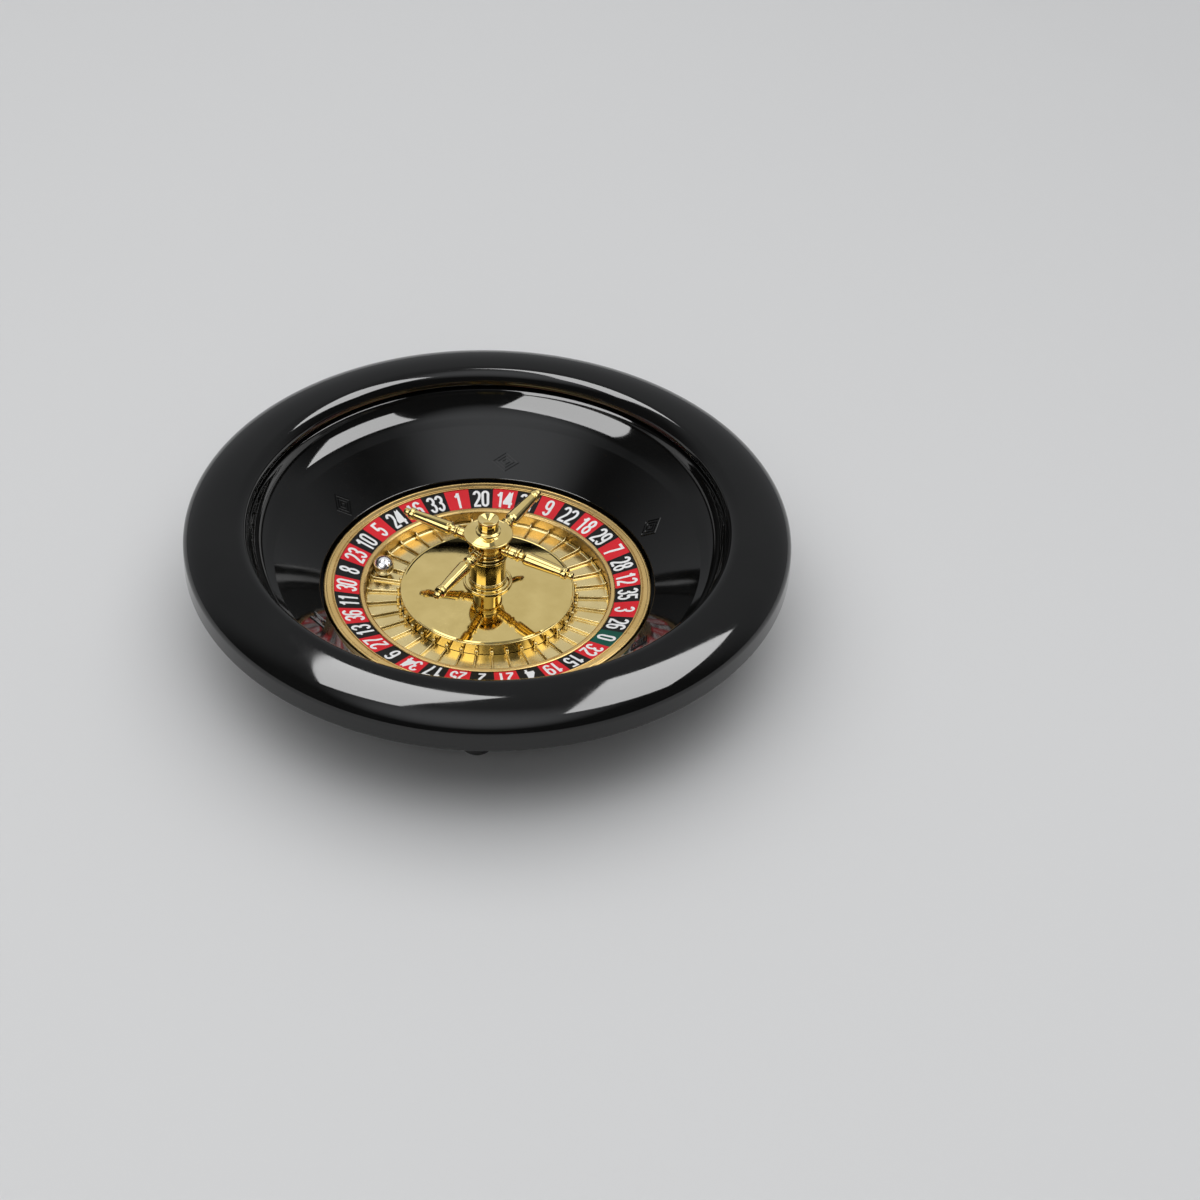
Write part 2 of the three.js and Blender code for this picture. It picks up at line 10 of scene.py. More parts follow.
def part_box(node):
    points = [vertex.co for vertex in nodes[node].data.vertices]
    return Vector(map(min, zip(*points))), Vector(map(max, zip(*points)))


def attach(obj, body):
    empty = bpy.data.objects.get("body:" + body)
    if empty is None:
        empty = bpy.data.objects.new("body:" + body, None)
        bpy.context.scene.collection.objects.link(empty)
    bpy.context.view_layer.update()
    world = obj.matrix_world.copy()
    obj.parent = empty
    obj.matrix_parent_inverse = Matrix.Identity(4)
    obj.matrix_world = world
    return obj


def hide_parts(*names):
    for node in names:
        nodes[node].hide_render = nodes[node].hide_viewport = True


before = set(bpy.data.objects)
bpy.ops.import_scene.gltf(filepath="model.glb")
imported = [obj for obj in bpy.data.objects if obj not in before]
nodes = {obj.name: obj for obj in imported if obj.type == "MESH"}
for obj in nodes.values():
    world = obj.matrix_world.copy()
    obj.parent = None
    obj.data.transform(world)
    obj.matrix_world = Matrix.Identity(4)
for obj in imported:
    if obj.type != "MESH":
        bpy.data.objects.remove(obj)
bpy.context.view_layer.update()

mm = 0.001
turn = 2 * math.pi
creaseAngle = 32


# Radius and heights of a node, in millimetres.
def sizeOf(node):
    low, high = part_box(node)
    return {"radius": high.y / mm, "bottom": low.z / mm, "top": high.z / mm}


def middleOf(node):
    low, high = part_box(node)
    return (low + high) / 2 / mm


# Azimuth of a node about the wheel's axis, from the middle of its own vertices.
def bearingOf(node):
    total = Vector((0, 0, 0))
    for vertex in nodes[node].data.vertices:
        total += vertex.co
    return math.atan2(total.y, total.x)


# Outlines lie in the (radius, height) plane.
# Corners are (r, z) or (r, z, fillet); a filleted corner becomes a short arc.
def softened(corners, steps=5):
    outline = []
    count = len(corners)
    for i, corner in enumerate(corners):
        here = Vector(corner[:2])
        if len(corner) < 3:
            outline.append(tuple(here))
            continue
        toBefore = Vector(corners[i - 1][:2]) - here
        toAfter = Vector(corners[(i + 1) % count][:2]) - here
        half = max(toBefore.angle(toAfter) / 2, 0.02)
        reach = min(corner[2] / math.tan(half), 0.49 * toBefore.length, 0.49 * toAfter.length)
        toBefore.normalize()
        toAfter.normalize()
        centre = here + (toBefore + toAfter).normalized() * reach / math.cos(half)
        start = here + toBefore * reach - centre
        end = here + toAfter * reach - centre
        radius = start.length
        for step in range(steps + 1):
            outline.append(tuple(centre + start.slerp(end, step / steps).normalized() * radius))
    return outline


# Points along an arc from start to end that bends by "bend" degrees either side of the chord.
def arcBetween(start, end, bend, steps):
    chord = math.dist(start, end)
    along = math.atan2(end[1] - start[1], end[0] - start[0])
    radius = chord / (2 * math.sin(math.radians(bend)))
    first = along - math.radians(bend)
    points = []
    for i in range(1, steps + 1):
        angle = first + 2 * math.radians(bend) * i / steps
        points.append((start[0] + radius * (math.sin(angle) - math.sin(first)),
                       start[1] - radius * (math.cos(angle) - math.cos(first))))
    return points


def ellipseArc(centre, radii, fromAngle, toAngle, steps):
    angles = [math.radians(fromAngle + (toAngle - fromAngle) * i / steps) for i in range(steps + 1)]
    return [(centre[0] + radii[0] * math.cos(a), centre[1] + radii[1] * math.sin(a)) for a in angles]


# The open path moved sideways by "distance", to its right.
def sideways(path, distance):
    moved = []
    for i, point in enumerate(path):
        here = Vector(point)
        before = here - Vector(path[max(i - 1, 0)])
        after = Vector(path[min(i + 1, len(path) - 1)]) - here
        if i == 0:
            before = after
        if i == len(path) - 1:
            after = before
        across = before.normalized() + after.normalized()
        normal = Vector((across.y, -across.x)).normalized()
        stretch = 1 / max(normal.dot(Vector((before.y, -before.x)).normalized()), 0.5)
        moved.append(tuple(here + normal * distance * stretch))
    return moved


def toObject(name, mesh, finish, soft=creaseAngle):
    mesh.shade_smooth()
    mesh.set_sharp_from_angle(angle=math.radians(soft))
    piece = bpy.data.objects.new(name, mesh)
    bpy.context.scene.collection.objects.link(piece)
    for one in finish if isinstance(finish, (list, tuple)) else [finish]:
        mesh.materials.append(one)
    return piece


# Face corners carry the shading of the larger face, so flats stay flat beside small fillets.
def evenShading(piece):
    modifier = piece.modifiers.new("evenShading", "WEIGHTED_NORMAL")
    modifier.keep_sharp = True
    modifier.weight = 100
    return piece


# Joins rings of vertices with quads, the last ring to the first; "spans" quads between two rings.
def skin(built, rings, spans):
    for i, here in enumerate(rings):
        there = rings[(i + 1) % len(rings)]
        for j in range(spans):
            k = (j + 1) % len(here)
            built.faces.new((here[j], there[j], there[k], here[k]))
    bmesh.ops.recalc_face_normals(built, faces=built.faces)


# A solid between two equal loops of points, in millimetres.
def prism(first, second):
    built = bmesh.new()
    start, end = [[built.verts.new(Vector(point) * mm) for point in loop] for loop in (first, second)]
    for j in range(len(start)):
        k = (j + 1) % len(start)
        built.faces.new((start[j], start[k], end[k], end[j]))
    built.faces.new(end)
    built.faces.new(list(reversed(start)))
    bmesh.ops.recalc_face_normals(built, faces=built.faces)
    return built


# Vertices and faces of an outline turned round an axis; "place" moves it where it belongs.
def turnedMesh(outline, sides, place=None):
    closed = abs(outline[0][0]) < 1e-6 and abs(outline[-1][0]) < 1e-6
    built = bmesh.new()
    rings = []
    for i in range(sides):
        c, s = math.cos(turn * i / sides), math.sin(turn * i / sides)
        rings.append([built.verts.new((r * c * mm, r * s * mm, z * mm)) for r, z in outline])
    skin(built, rings, len(outline) - 1 if closed else len(outline))
    bmesh.ops.remove_doubles(built, verts=built.verts, dist=1e-7)
    bmesh.ops.dissolve_degenerate(built, edges=built.edges, dist=1e-7)
    bmesh.ops.recalc_face_normals(built, faces=built.faces)
    if place is not None:
        bmesh.ops.transform(built, matrix=place, verts=built.verts)
    return built


def toMesh(name, *parts):
    joined = bmesh.new()
    for part in parts:
        spare = bpy.data.meshes.new("spare")
        part.to_mesh(spare)
        part.free()
        joined.from_mesh(spare)
        bpy.data.meshes.remove(spare)
    mesh = bpy.data.meshes.new(name)
    joined.to_mesh(mesh)
    joined.free()
    return mesh


def shaped(name, finish, *parts, soft=creaseAngle):
    return toObject(name, toMesh(name, *parts), finish, soft)


def turned(name, outline, finish, sides=192, place=None):
    return evenShading(shaped(name, finish, turnedMesh(outline, sides, place)))


# A solid between two horizontal copies of flat triangles, shaped by "lift", which gives the
# height under a point; points are in millimetres.
def slab(points, triangles, lift, low, high):
    built = bmesh.new()
    tops = [built.verts.new((x * mm, y * mm, (lift(x, y) + high) * mm)) for x, y in points]
    feet = [built.verts.new((x * mm, y * mm, (lift(x, y) + low) * mm)) for x, y in points]
    sides = {}
    for corners in triangles:
        built.faces.new([tops[i] for i in corners])
        built.faces.new([feet[i] for i in reversed(corners)])
        for a, b in zip(corners, corners[1:] + corners[:1]):
            sides[(a, b)] = sides.get((a, b), 0) + 1
    for a, b in sides:
        if (b, a) not in sides:
            built.faces.new((tops[b], tops[a], feet[a], feet[b]))
    loose = [v for v in built.verts if not v.link_faces]
    bmesh.ops.delete(built, geom=loose, context="VERTS")
    bmesh.ops.recalc_face_normals(built, faces=built.faces)
    return built


def cutOrJoin(piece, tool, operation):
    modifier = piece.modifiers.new(operation.lower(), "BOOLEAN")
    modifier.object = tool
    modifier.operation = operation
    modifier.solver = "EXACT"
    settled = piece.evaluated_get(bpy.context.evaluated_depsgraph_get())
    mesh = bpy.data.meshes.new_from_object(settled)
    piece.modifiers.clear()
    piece.data = mesh
    bpy.data.objects.remove(tool)
    return piece


def settle(piece, body, slotName, *replaced):
    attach(piece, body)
    if replaced:
        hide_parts(*replaced)
    return piece


def placedAt(x, y, z=0):
    return Matrix.Translation((x * mm, y * mm, z * mm))


# The node tree of a material or world, with short ways of adding to it.
class Nodes:
    def __init__(self, owner, shader="Principled BSDF", coordinate="Object"):
        owner.use_nodes = True
        self.owner = owner
        self.tree = owner.node_tree
        self.shader = self.tree.nodes[shader]
        self.where = self.tree.nodes.new("ShaderNodeTexCoord").outputs[coordinate]

    def feed(self, socket, value):
        if isinstance(value, bpy.types.NodeSocket):
            self.tree.links.new(value, socket)
        else:
            socket.default_value = value

    def add(self, kind, values=None, **settings):
        node = self.tree.nodes.new(kind)
        for key, value in settings.items():
            setattr(node, key, value)
        for key, value in (values or {}).items():
            self.feed(node.inputs[key], value)
        return node

    # Noise of a given grain size in millimetres, from 0 to 1.
    def grain(self, size, detail=3, stretch=None):
        where = self.where
        if stretch:
            where = self.add("ShaderNodeMapping", {"Vector": where, "Scale": stretch}).outputs[0]
        return self.add("ShaderNodeTexNoise", {"Vector": where, "Scale": 1 / (size * mm),
                                               "Detail": detail}).outputs[0]

    def spread(self, value, low, high, start=0.35, end=0.65, curve="LINEAR"):
        limits = {"Value": value, "From Min": start, "From Max": end, "To Min": low, "To Max": high}
        return self.add("ShaderNodeMapRange", limits, interpolation_type=curve).outputs[0]

    def mixed(self, share, first, second):
        parts = {0: share, 6: first, 7: second}
        return self.add("ShaderNodeMix", parts, data_type="RGBA").outputs[2]

    def calc(self, operation, first, second):
        return self.add("ShaderNodeMath", {0: first, 1: second}, operation=operation).outputs[0]

    def link(self, output, socket):
        self.tree.links.new(output, self.shader.inputs[socket])

    def bump(self, height, depth, normal=None):
        values = {"Height": height, "Distance": depth * mm, "Strength": 1.0}
        if normal is not None:
            values["Normal"] = normal
        return self.add("ShaderNodeBump", values).outputs[0]

    # Fine hairline scratches in two directions, 1 on a scratch.
    def scratches(self, size, amount):
        first = self.grain(size, 2, (1, 14, 5))
        second = self.grain(size * 1.3, 2, (11, 1, 7))
        lines = self.calc("MAXIMUM", first, second)
        return self.spread(lines, 0, 1, amount, amount + 0.06)


def tone(red, green, blue):
    return (red, green, blue, 1)


# Gloss with hairline scratches, and relief of a slow wave under a fine grain.
def addSurface(make, look, glossShare, grainDetail):
    gloss = make.grain(look["driftSize"] * glossShare, 4)
    gloss = make.spread(gloss, look["smooth"], look["rough"])
    scratch = make.scratches(look["scratchSize"], look["scratchAmount"])
    rougher = make.calc("ADD", gloss, make.calc("MULTIPLY", scratch, look["scratchRough"]))
    make.link(rougher, "Roughness")
    wave = make.bump(make.grain(look["waveSize"], 2), look["waveDepth"])
    fine = make.bump(make.grain(look["grainSize"], grainDetail), look["grainDepth"], wave)
    make.link(fine, "Normal")
    return make.owner


# Moulded plastic or rubber: slow colour drift, faint flow marks, hairline scratches and dust.
def plasticFinish(name, look):
    make = Nodes(bpy.data.materials.new(name))
    drift = make.grain(look["driftSize"], 3)
    colour = make.mixed(make.spread(drift, 0, 1), look["dark"], look["light"])
    dust = make.spread(make.grain(look["dustSize"], 2), 0, 1, *look["dustBand"])
    colour = make.mixed(make.calc("MULTIPLY", dust, look["dust"]), colour, look["dustColour"])
    make.link(colour, "Base Color")
    make.shader.inputs["Specular IOR Level"].default_value = look["specular"]
    return addSurface(make, look, 0.4, 4)


# Metal or plating: tint drift, polishing marks and a soft orange-peel wave.
def metalFinish(name, look):
    make = Nodes(bpy.data.materials.new(name))
    make.shader.inputs["Metallic"].default_value = 1
    drift = make.grain(look["driftSize"], 3)
    make.link(make.mixed(make.spread(drift, 0, 1), look["deep"], look["bright"]), "Base Color")
    return addSurface(make, look, 0.5, 3)


blackLook = {
    "dark": tone(0.0032, 0.0032, 0.0031), "light": tone(0.0048, 0.0048, 0.0046),
    "driftSize": 40, "scratchSize": 3.5, "scratchAmount": 0.66, "scratchRough": 0.05,
    "dust": 0.03, "dustSize": 0.5, "dustBand": (0.68, 0.78), "dustColour": tone(0.3, 0.29, 0.27),
    "smooth": 0.045, "rough": 0.075,
    "waveSize": 30, "waveDepth": 0.02, "grainSize": 0.35, "grainDepth": 0.0007, "specular": 0.5,
}
carrierLook = dict(blackLook, smooth=0.35, rough=0.5, grainDepth=0.004)
rubberLook = dict(blackLook, dark=tone(0.012, 0.012, 0.012), light=tone(0.022, 0.021, 0.02),
                  smooth=0.7, rough=0.9, grainSize=0.25, grainDepth=0.02, dust=0.25, driftSize=6)
nylonLook = dict(blackLook, dark=tone(0.62, 0.6, 0.53), light=tone(0.72, 0.7, 0.63),
                 smooth=0.4, rough=0.55, driftSize=5)
inkLook = dict(blackLook, smooth=0.38, rough=0.48, driftSize=12, grainDepth=0.002, waveDepth=0.004,
               specular=0.15)
redInkLook = dict(inkLook, dark=tone(0.66, 0.012, 0.022), light=tone(0.74, 0.017, 0.028))
blackInkLook = dict(inkLook, dark=tone(0.004, 0.004, 0.004), light=tone(0.007, 0.007, 0.007))
greenInkLook = dict(inkLook, dark=tone(0, 0.07, 0.045), light=tone(0, 0.09, 0.06))
whiteInkLook = dict(inkLook, dark=tone(0.84, 0.84, 0.84), light=tone(0.9, 0.9, 0.9))
mirrorGoldLook = {
    "deep": tone(0.63, 0.485, 0.185), "bright": tone(0.71, 0.555, 0.225), "driftSize": 14,
    "smooth": 0.035, "rough": 0.075, "scratchSize": 2.5, "scratchAmount": 0.66,
    "scratchRough": 0.06, "waveSize": 9, "waveDepth": 0.01, "grainSize": 0.6, "grainDepth": 0.0004,
}
pocketGoldLook = dict(mirrorGoldLook, deep=tone(0.68, 0.54, 0.25), bright=tone(0.76, 0.62, 0.31),
                      smooth=0.17, rough=0.25)
satinGoldLook = dict(mirrorGoldLook, deep=tone(0.6, 0.41, 0.155), bright=tone(0.68, 0.475, 0.195),
                     smooth=0.24, rough=0.32, grainSize=0.3, grainDepth=0.0012, scratchRough=0.02)
polishedSteelLook = dict(mirrorGoldLook, deep=tone(0.74, 0.73, 0.74), bright=tone(0.84, 0.83, 0.83),
                         smooth=0.14, rough=0.2, driftSize=5, waveDepth=0.002)
steelLook = dict(polishedSteelLook, deep=tone(0.42, 0.42, 0.43), bright=tone(0.58, 0.58, 0.58),
                 smooth=0.22, rough=0.38, grainDepth=0.002)
brassLook = dict(satinGoldLook, deep=tone(0.6, 0.42, 0.14), bright=tone(0.72, 0.52, 0.2))

blackPlastic = plasticFinish("black plastic", blackLook)
carrierPlastic = plasticFinish("carrier plastic", carrierLook)
rubber = plasticFinish("foot rubber", rubberLook)
nylon = plasticFinish("nylon", nylonLook)
redInk = plasticFinish("red ink", redInkLook)
blackInk = plasticFinish("black ink", blackInkLook)
greenInk = plasticFinish("green ink", greenInkLook)
whiteInk = plasticFinish("white ink", whiteInkLook)
mirrorGold = metalFinish("mirror gold", mirrorGoldLook)
pocketGold = metalFinish("pocket gold", pocketGoldLook)
satinGold = metalFinish("satin gold", satinGoldLook)
polishedSteel = metalFinish("polished steel", polishedSteelLook)
steel = metalFinish("bright steel", steelLook)
brass = metalFinish("brass", brassLook)

# These pieces keep their own shape, inside the wheel.
for nodeName, finish in (("wheel_base", carrierPlastic), ("lower_bush", brass),
                         ("upper_bush", brass), ("thrust_washer", nylon)):
    nodes[nodeName].material_slots[0].material = finish
print("frame and finishes ready")

bowlBox = sizeOf("bowl_shell")
rimBox = sizeOf("rim_ring")
frameBox = sizeOf("number_frame")
bowlMake = {
    "wall": 2.6, "floor": 2.6, "rotorGap": 1.6, "wellAboveFace": 1.5, "footFlange": 16,
    "rimWidth": 32, "trackWidth": 12, "trackRise": 14, "trackBend": 25, "flangeStep": 0.3,
    "bossRadius": 9, "bossRise": 0.8, "hole": 3.3, "edgeRound": 0.7, "creaseRound": 3,
    "ribs": 8, "ribThickness": 2, "ribInset": 3, "rimOverlap": 0.3, "sides": 256,
}
faceTop = sizeOf("number_ring")["top"]
wellRadius = frameBox["radius"] + bowlMake["rotorGap"]
wellTop = faceTop + bowlMake["wellAboveFace"]
lipRadius = rimBox["radius"] - bowlMake["rimWidth"]
creaseRadius = lipRadius - bowlMake["trackWidth"]
trackTop = bowlBox["top"] - bowlMake["flangeStep"]
creaseZ = trackTop - bowlMake["trackRise"]


def bowlInside(floorTop):
    make = bowlMake
    corners = [(wellRadius, floorTop), (wellRadius, wellTop, make["edgeRound"]),
               (creaseRadius, creaseZ, make["creaseRound"])]
    track = arcBetween((creaseRadius, creaseZ), (lipRadius, trackTop), make["trackBend"], 14)
    start = softened(corners + [track[1]])[:-1]
    flange = [(lipRadius + make["rimOverlap"], bowlBox["top"]), (bowlBox["radius"], bowlBox["top"])]
    return start + track[2:] + flange


def buildBowl():
    make = bowlMake
    floorBottom = bowlBox["bottom"]
    floorTop = floorBottom + make["floor"]
    baseRadius = wellRadius + make["wall"] + make["footFlange"]
    inside = bowlInside(floorTop)
    outside = sideways(inside, make["wall"])[1:]
    outline = softened([
        (make["hole"], floorBottom, 0.2), (baseRadius, floorBottom, 0.6), (baseRadius, floorTop, 0.6),
        (wellRadius + make["wall"], floorTop)])
    outline += outside + inside[::-1]
    outline += softened([
        (make["bossRadius"], floorTop, 0.3), (make["bossRadius"], floorTop + make["bossRise"], 0.3),
        (make["hole"], floorTop + make["bossRise"], 0.2)])
    bowl = shaped("bowl", blackPlastic, turnedMesh(outline, make["sides"]))
    middle = sideways(inside, make["wall"] / 2)
    under = [p for p in middle if wellTop < p[1] < trackTop - make["wall"]]
    ribFoot = baseRadius - make["ribInset"]
    ribLow = floorTop - make["floor"] / 2
    ribs = []
    side = [(wellRadius + make["wall"] / 2, ribLow), (ribFoot, ribLow),
            (ribFoot, floorTop + make["floor"])]
    side += under[::-1]
    half = make["ribThickness"] / 2
    for i in range(make["ribs"]):
        rib = prism([(r, -half, z) for r, z in side], [(r, half, z) for r, z in side])
        angle = turn * (i + 0.5) / make["ribs"]
        bmesh.ops.transform(rib, matrix=Matrix.Rotation(angle, 4, "Z"), verts=rib.verts)
        ribs.append(rib)
    cutOrJoin(bowl, shaped("ribs", blackPlastic, *ribs), "UNION")
    bowl.data.shade_smooth()
    bowl.data.set_sharp_from_angle(angle=math.radians(creaseAngle))
    evenShading(bowl)
    return settle(bowl, "bowl", "black_plastic", "bowl_shell")


# Six raised lozenges on the cone, each a narrow outer ridge with smaller relief nested in it.
diamondMake = {
    "count": 6, "first": 27.2, "circle": 91, "long": 14.2, "short": 10.6, "ridge": 0.6,
    "height": 0.55, "steps": (1.0, 0.66, 0.34), "fine": 6, "widest": 0.96,
    "profile": ((0, -1), (0, 0), (0.3, 1), (0.7, 1), (1, 0), (1, -1)),
}


# A point by the cone: u along its circle, v up the slope, and a height off the surface.
def onCone(angle, u, v, height):
    slope = math.atan2(creaseZ - wellTop, creaseRadius - wellRadius)
    r = diamondMake["circle"] + v * math.cos(slope)
    here = angle - u / r
    top = wellTop + (r - wellRadius) * math.tan(slope) + height * math.cos(slope)
    r -= height * math.sin(slope)
    return Vector((r * math.cos(here), r * math.sin(here), top)) * mm


# One ridge that runs all round a lozenge of the given half length and half width.
def diamondRidge(angle, long, wide):
    make = diamondMake
    outer = [(long, 0), (0, wide), (-long, 0), (0, -wide)]
    across = min(make["ridge"] / math.sin(math.atan2(wide, long)) / long, make["widest"])
    ridge = bmesh.new()
    rings = []
    for part, height in make["profile"]:
        shrink = 1 - across * part
        ring = []
        for j, (x, y) in enumerate(outer):
            nextX, nextY = outer[(j + 1) % len(outer)]
            for step in range(make["fine"]):
                t = step / make["fine"]
                u, v = (x + (nextX - x) * t) * shrink, (y + (nextY - y) * t) * shrink
                ring.append(ridge.verts.new(onCone(angle, u, v, height * make["height"])))
        rings.append(ring)
    skin(ridge, rings, len(rings[0]))
    return ridge


def buildDiamonds():
    make = diamondMake
    parts = []
    for i in range(make["count"]):
        angle = math.radians(make["first"] + 360 / make["count"] * i)
        along, across = make["long"] / 2, make["short"] / 2
        if i % 2 == 0:
            along, across = across, along
        parts += [diamondRidge(angle, along * share, across * share) for share in make["steps"]]
    diamonds = evenShading(shaped("bowl_diamonds", blackPlastic, *parts))
    return settle(diamonds, "bowl", "black_plastic")


# The rim is rolled over, and open below.
rimMake = {
    "wall": 2.6, "skirt": 8.6, "rise": 11.1, "roll": 7, "lip": 0.6, "screws": 6, "bossRadius": 4,
    "bossBore": 1.55, "bossGap": 0.05, "bossSides": 24, "grip": 5.5, "sides": 256,
}


def buildRim():
    make = rimMake
    radius, bottom, crest = rimBox["radius"], rimBox["bottom"], rimBox["top"]
    crease = bottom + make["skirt"]
    crestRadius = lipRadius + make["roll"]
    shoulder = ellipseArc((crestRadius, crease), (radius - crestRadius, make["rise"]), 0, 90, 40)
    roll = ellipseArc((crestRadius, crest - make["roll"]), (make["roll"],) * 2, 90, 180, 20)
    lip = [(lipRadius, crest - make["roll"] - make["lip"])]
    path = [(radius, bottom), (radius, crease)] + shoulder[1:] + roll[1:] + lip
    inner = sideways(path, -make["wall"])
    outline = path + inner[::-1]
    outline = softenEnds(outline, len(path))
    parts = [turnedMesh(outline, make["sides"])]
    flange = bowlBox["top"]
    bore, bossRadius = make["bossBore"], make["bossRadius"]
    low, high = flange + make["bossGap"], flange + make["grip"] + make["wall"]
    boss = softened([(bore, low, 0.2), (bossRadius, low, 0.4), (bossRadius, high), (bore, high)])
    for i in range(make["screws"]):
        spot = middleOf(f"rim_screw_{i + 1}")
        parts.append(turnedMesh(boss, make["bossSides"], placedAt(spot.x, spot.y)))
    rim = evenShading(shaped("rim", blackPlastic, *parts))
    return settle(rim, "bowl", "black_plastic", "rim_ring")


# Rounds the two free edges of a wall whose outline is an outer path and its inner copy.
def softenEnds(outline, split, radius=0.5):
    marked = {0, split - 1, split, len(outline) - 1}
    corners = [(*p, radius) if i in marked else p for i, p in enumerate(outline)]
    return softened(corners)


pocketMake = {
    "count": 37, "ballPocket": 17, "outer": 61.2, "inner": 43.7, "depthOuter": 9.8, "depthInner": 9.3,
    "wall": 1, "gap": 0.3, "fretWidth": 1.1, "fretHeight": 1.6, "gusset": 1.3, "gussetLength": 2.6,
    "cove": 1.3, "knobRadius": 0.95, "knobHeight": 3.7, "knobSunk": 0.4, "knobStem": 0.8,
    "knobSides": 20, "floorSteps": 9, "coveSteps": 8, "soft": 40,
}
pitch = turn / pocketMake["count"]
zeroAngle = bearingOf("steel_ball") + pocketMake["ballPocket"] * pitch
coneBox = sizeOf("centre_cone")


def pocketFloor(r):
    make = pocketMake
    slope = (make["depthOuter"] - make["depthInner"]) / (make["outer"] - make["inner"])
    return faceTop - make["depthInner"] - (r - make["inner"]) * slope


bandMake = {
    "band": 5.3, "label": 12.6, "labelDrop": 2.9, "thick": 0.5, "beadProud": 0.7,
    "skirt": 8, "wall": 2, "sides": 296,
}
labelOuter = frameBox["radius"] - bandMake["band"]
labelInner = labelOuter - bandMake["label"]
labelInnerZ = faceTop - bandMake["labelDrop"]


def labelZ(r):
    return labelInnerZ + (r - labelInner) * bandMake["labelDrop"] / bandMake["label"]


def buildNumberFrame():
    make = bandMake
    radius, top = frameBox["radius"], frameBox["top"]
    foot = frameBox["bottom"]
    pocketOuter = pocketMake["outer"]
    plateEdge = pocketOuter + make["wall"]
    beadTop = labelInnerZ + make["beadProud"]
    outline = softened([
        (pocketOuter, foot, 0.2), (plateEdge, foot, 0.2),
        (plateEdge, labelInnerZ - make["thick"] - make["wall"], 0.6),
        (radius - make["wall"], faceTop - make["thick"] - make["wall"], 0.6),
        (radius - make["wall"], top - make["skirt"], 0.4), (radius, top - make["skirt"], 0.5),
        (radius, top - 0.25, 0.7), (radius - 1.1, top + 0.02, 0.5), (radius - 1.45, top - 0.22, 0.2),
        (radius - 1.8, top - 0.02, 0.3), (labelOuter + 1.35, top - 0.02, 0.3),
        (labelOuter + 1.2, top - 0.5, 0.12), (labelOuter + 0.9, top - 0.5, 0.12),
        (labelOuter + 0.8, top, 0.3), (labelOuter + 0.05, top, 0.3),
        (labelOuter + 0.02, faceTop - make["thick"]),
        (labelInner, labelInnerZ - make["thick"]), (labelInner, beadTop - 0.3, 0.25),
        (labelInner - 0.5, beadTop, 0.4), (pocketOuter + 0.9, beadTop, 0.7),
        (pocketOuter, beadTop - 0.8, 0.8),
    ], 4)
    piece = turned("number_band", outline, satinGold, make["sides"])
    return settle(piece, "wheel", "satin_gold", "number_frame")


numbers = [0, 32, 15, 19, 4, 21, 2, 25, 17, 34, 6, 27, 13, 36, 11, 30, 8, 23, 10, 5, 24, 16, 33, 1,
           20, 14, 31, 9, 22, 18, 29, 7, 28, 12, 35, 3, 26]
redNumbers = {1, 3, 5, 7, 9, 12, 14, 16, 18, 19, 21, 23, 25, 27, 30, 32, 34, 36}


def buildNumberRing():
    perPocket = 8
    sides = perPocket * pocketMake["count"]
    inner, outer = labelInner + 0.1, labelOuter - 0.1
    rows = [(inner, -0.4), (outer, -0.4), (outer, 0)]
    rows += [(outer + (inner - outer) * i / 4, 0) for i in range(1, 5)]
    built = bmesh.new()
    rings = []
    for i in range(sides):
        angle = zeroAngle + pitch / 2 - turn * i / sides
        rings.append([built.verts.new((r * math.cos(angle) * mm, r * math.sin(angle) * mm,
                                       (labelZ(r) + drop) * mm)) for r, drop in rows])
    for i in range(sides):
        number = numbers[i // perPocket]
        colour = 2 if number == 0 else 0 if number in redNumbers else 1
        here, there = rings[i], rings[(i + 1) % sides]
        for j in range(len(rows)):
            k = (j + 1) % len(rows)
            built.faces.new((here[j], here[k], there[k], there[j])).material_index = colour
    bmesh.ops.recalc_face_normals(built, faces=built.faces)
    inks = [redInk, blackInk, greenInk]
    ring = shaped("number_ring_print", inks, built)
    return settle(evenShading(ring), "wheel", "printed_ring", "number_ring")


# Digits are strokes in a box 1 wide and 1 high, arcs given as (centre, radii, from, to) degrees.
digitMake = {"width": 2.75, "height": 9.0, "stroke": 1.32, "apart": 4.3, "proud": 0.06, "sunk": 0.1,
              "soft": 50}


def stroke(*parts):
    points = []
    for part in parts:
        if len(part) == 2:
            points.append(part)
        else:
            (cx, cy), (rx, ry), start, end = part
            steps = max(4, int(abs(end - start) / 12))
            for i in range(steps + 1):
                a = math.radians(start + (end - start) * i / steps)
                points.append((cx + rx * math.cos(a), cy + ry * math.sin(a)))
    return points


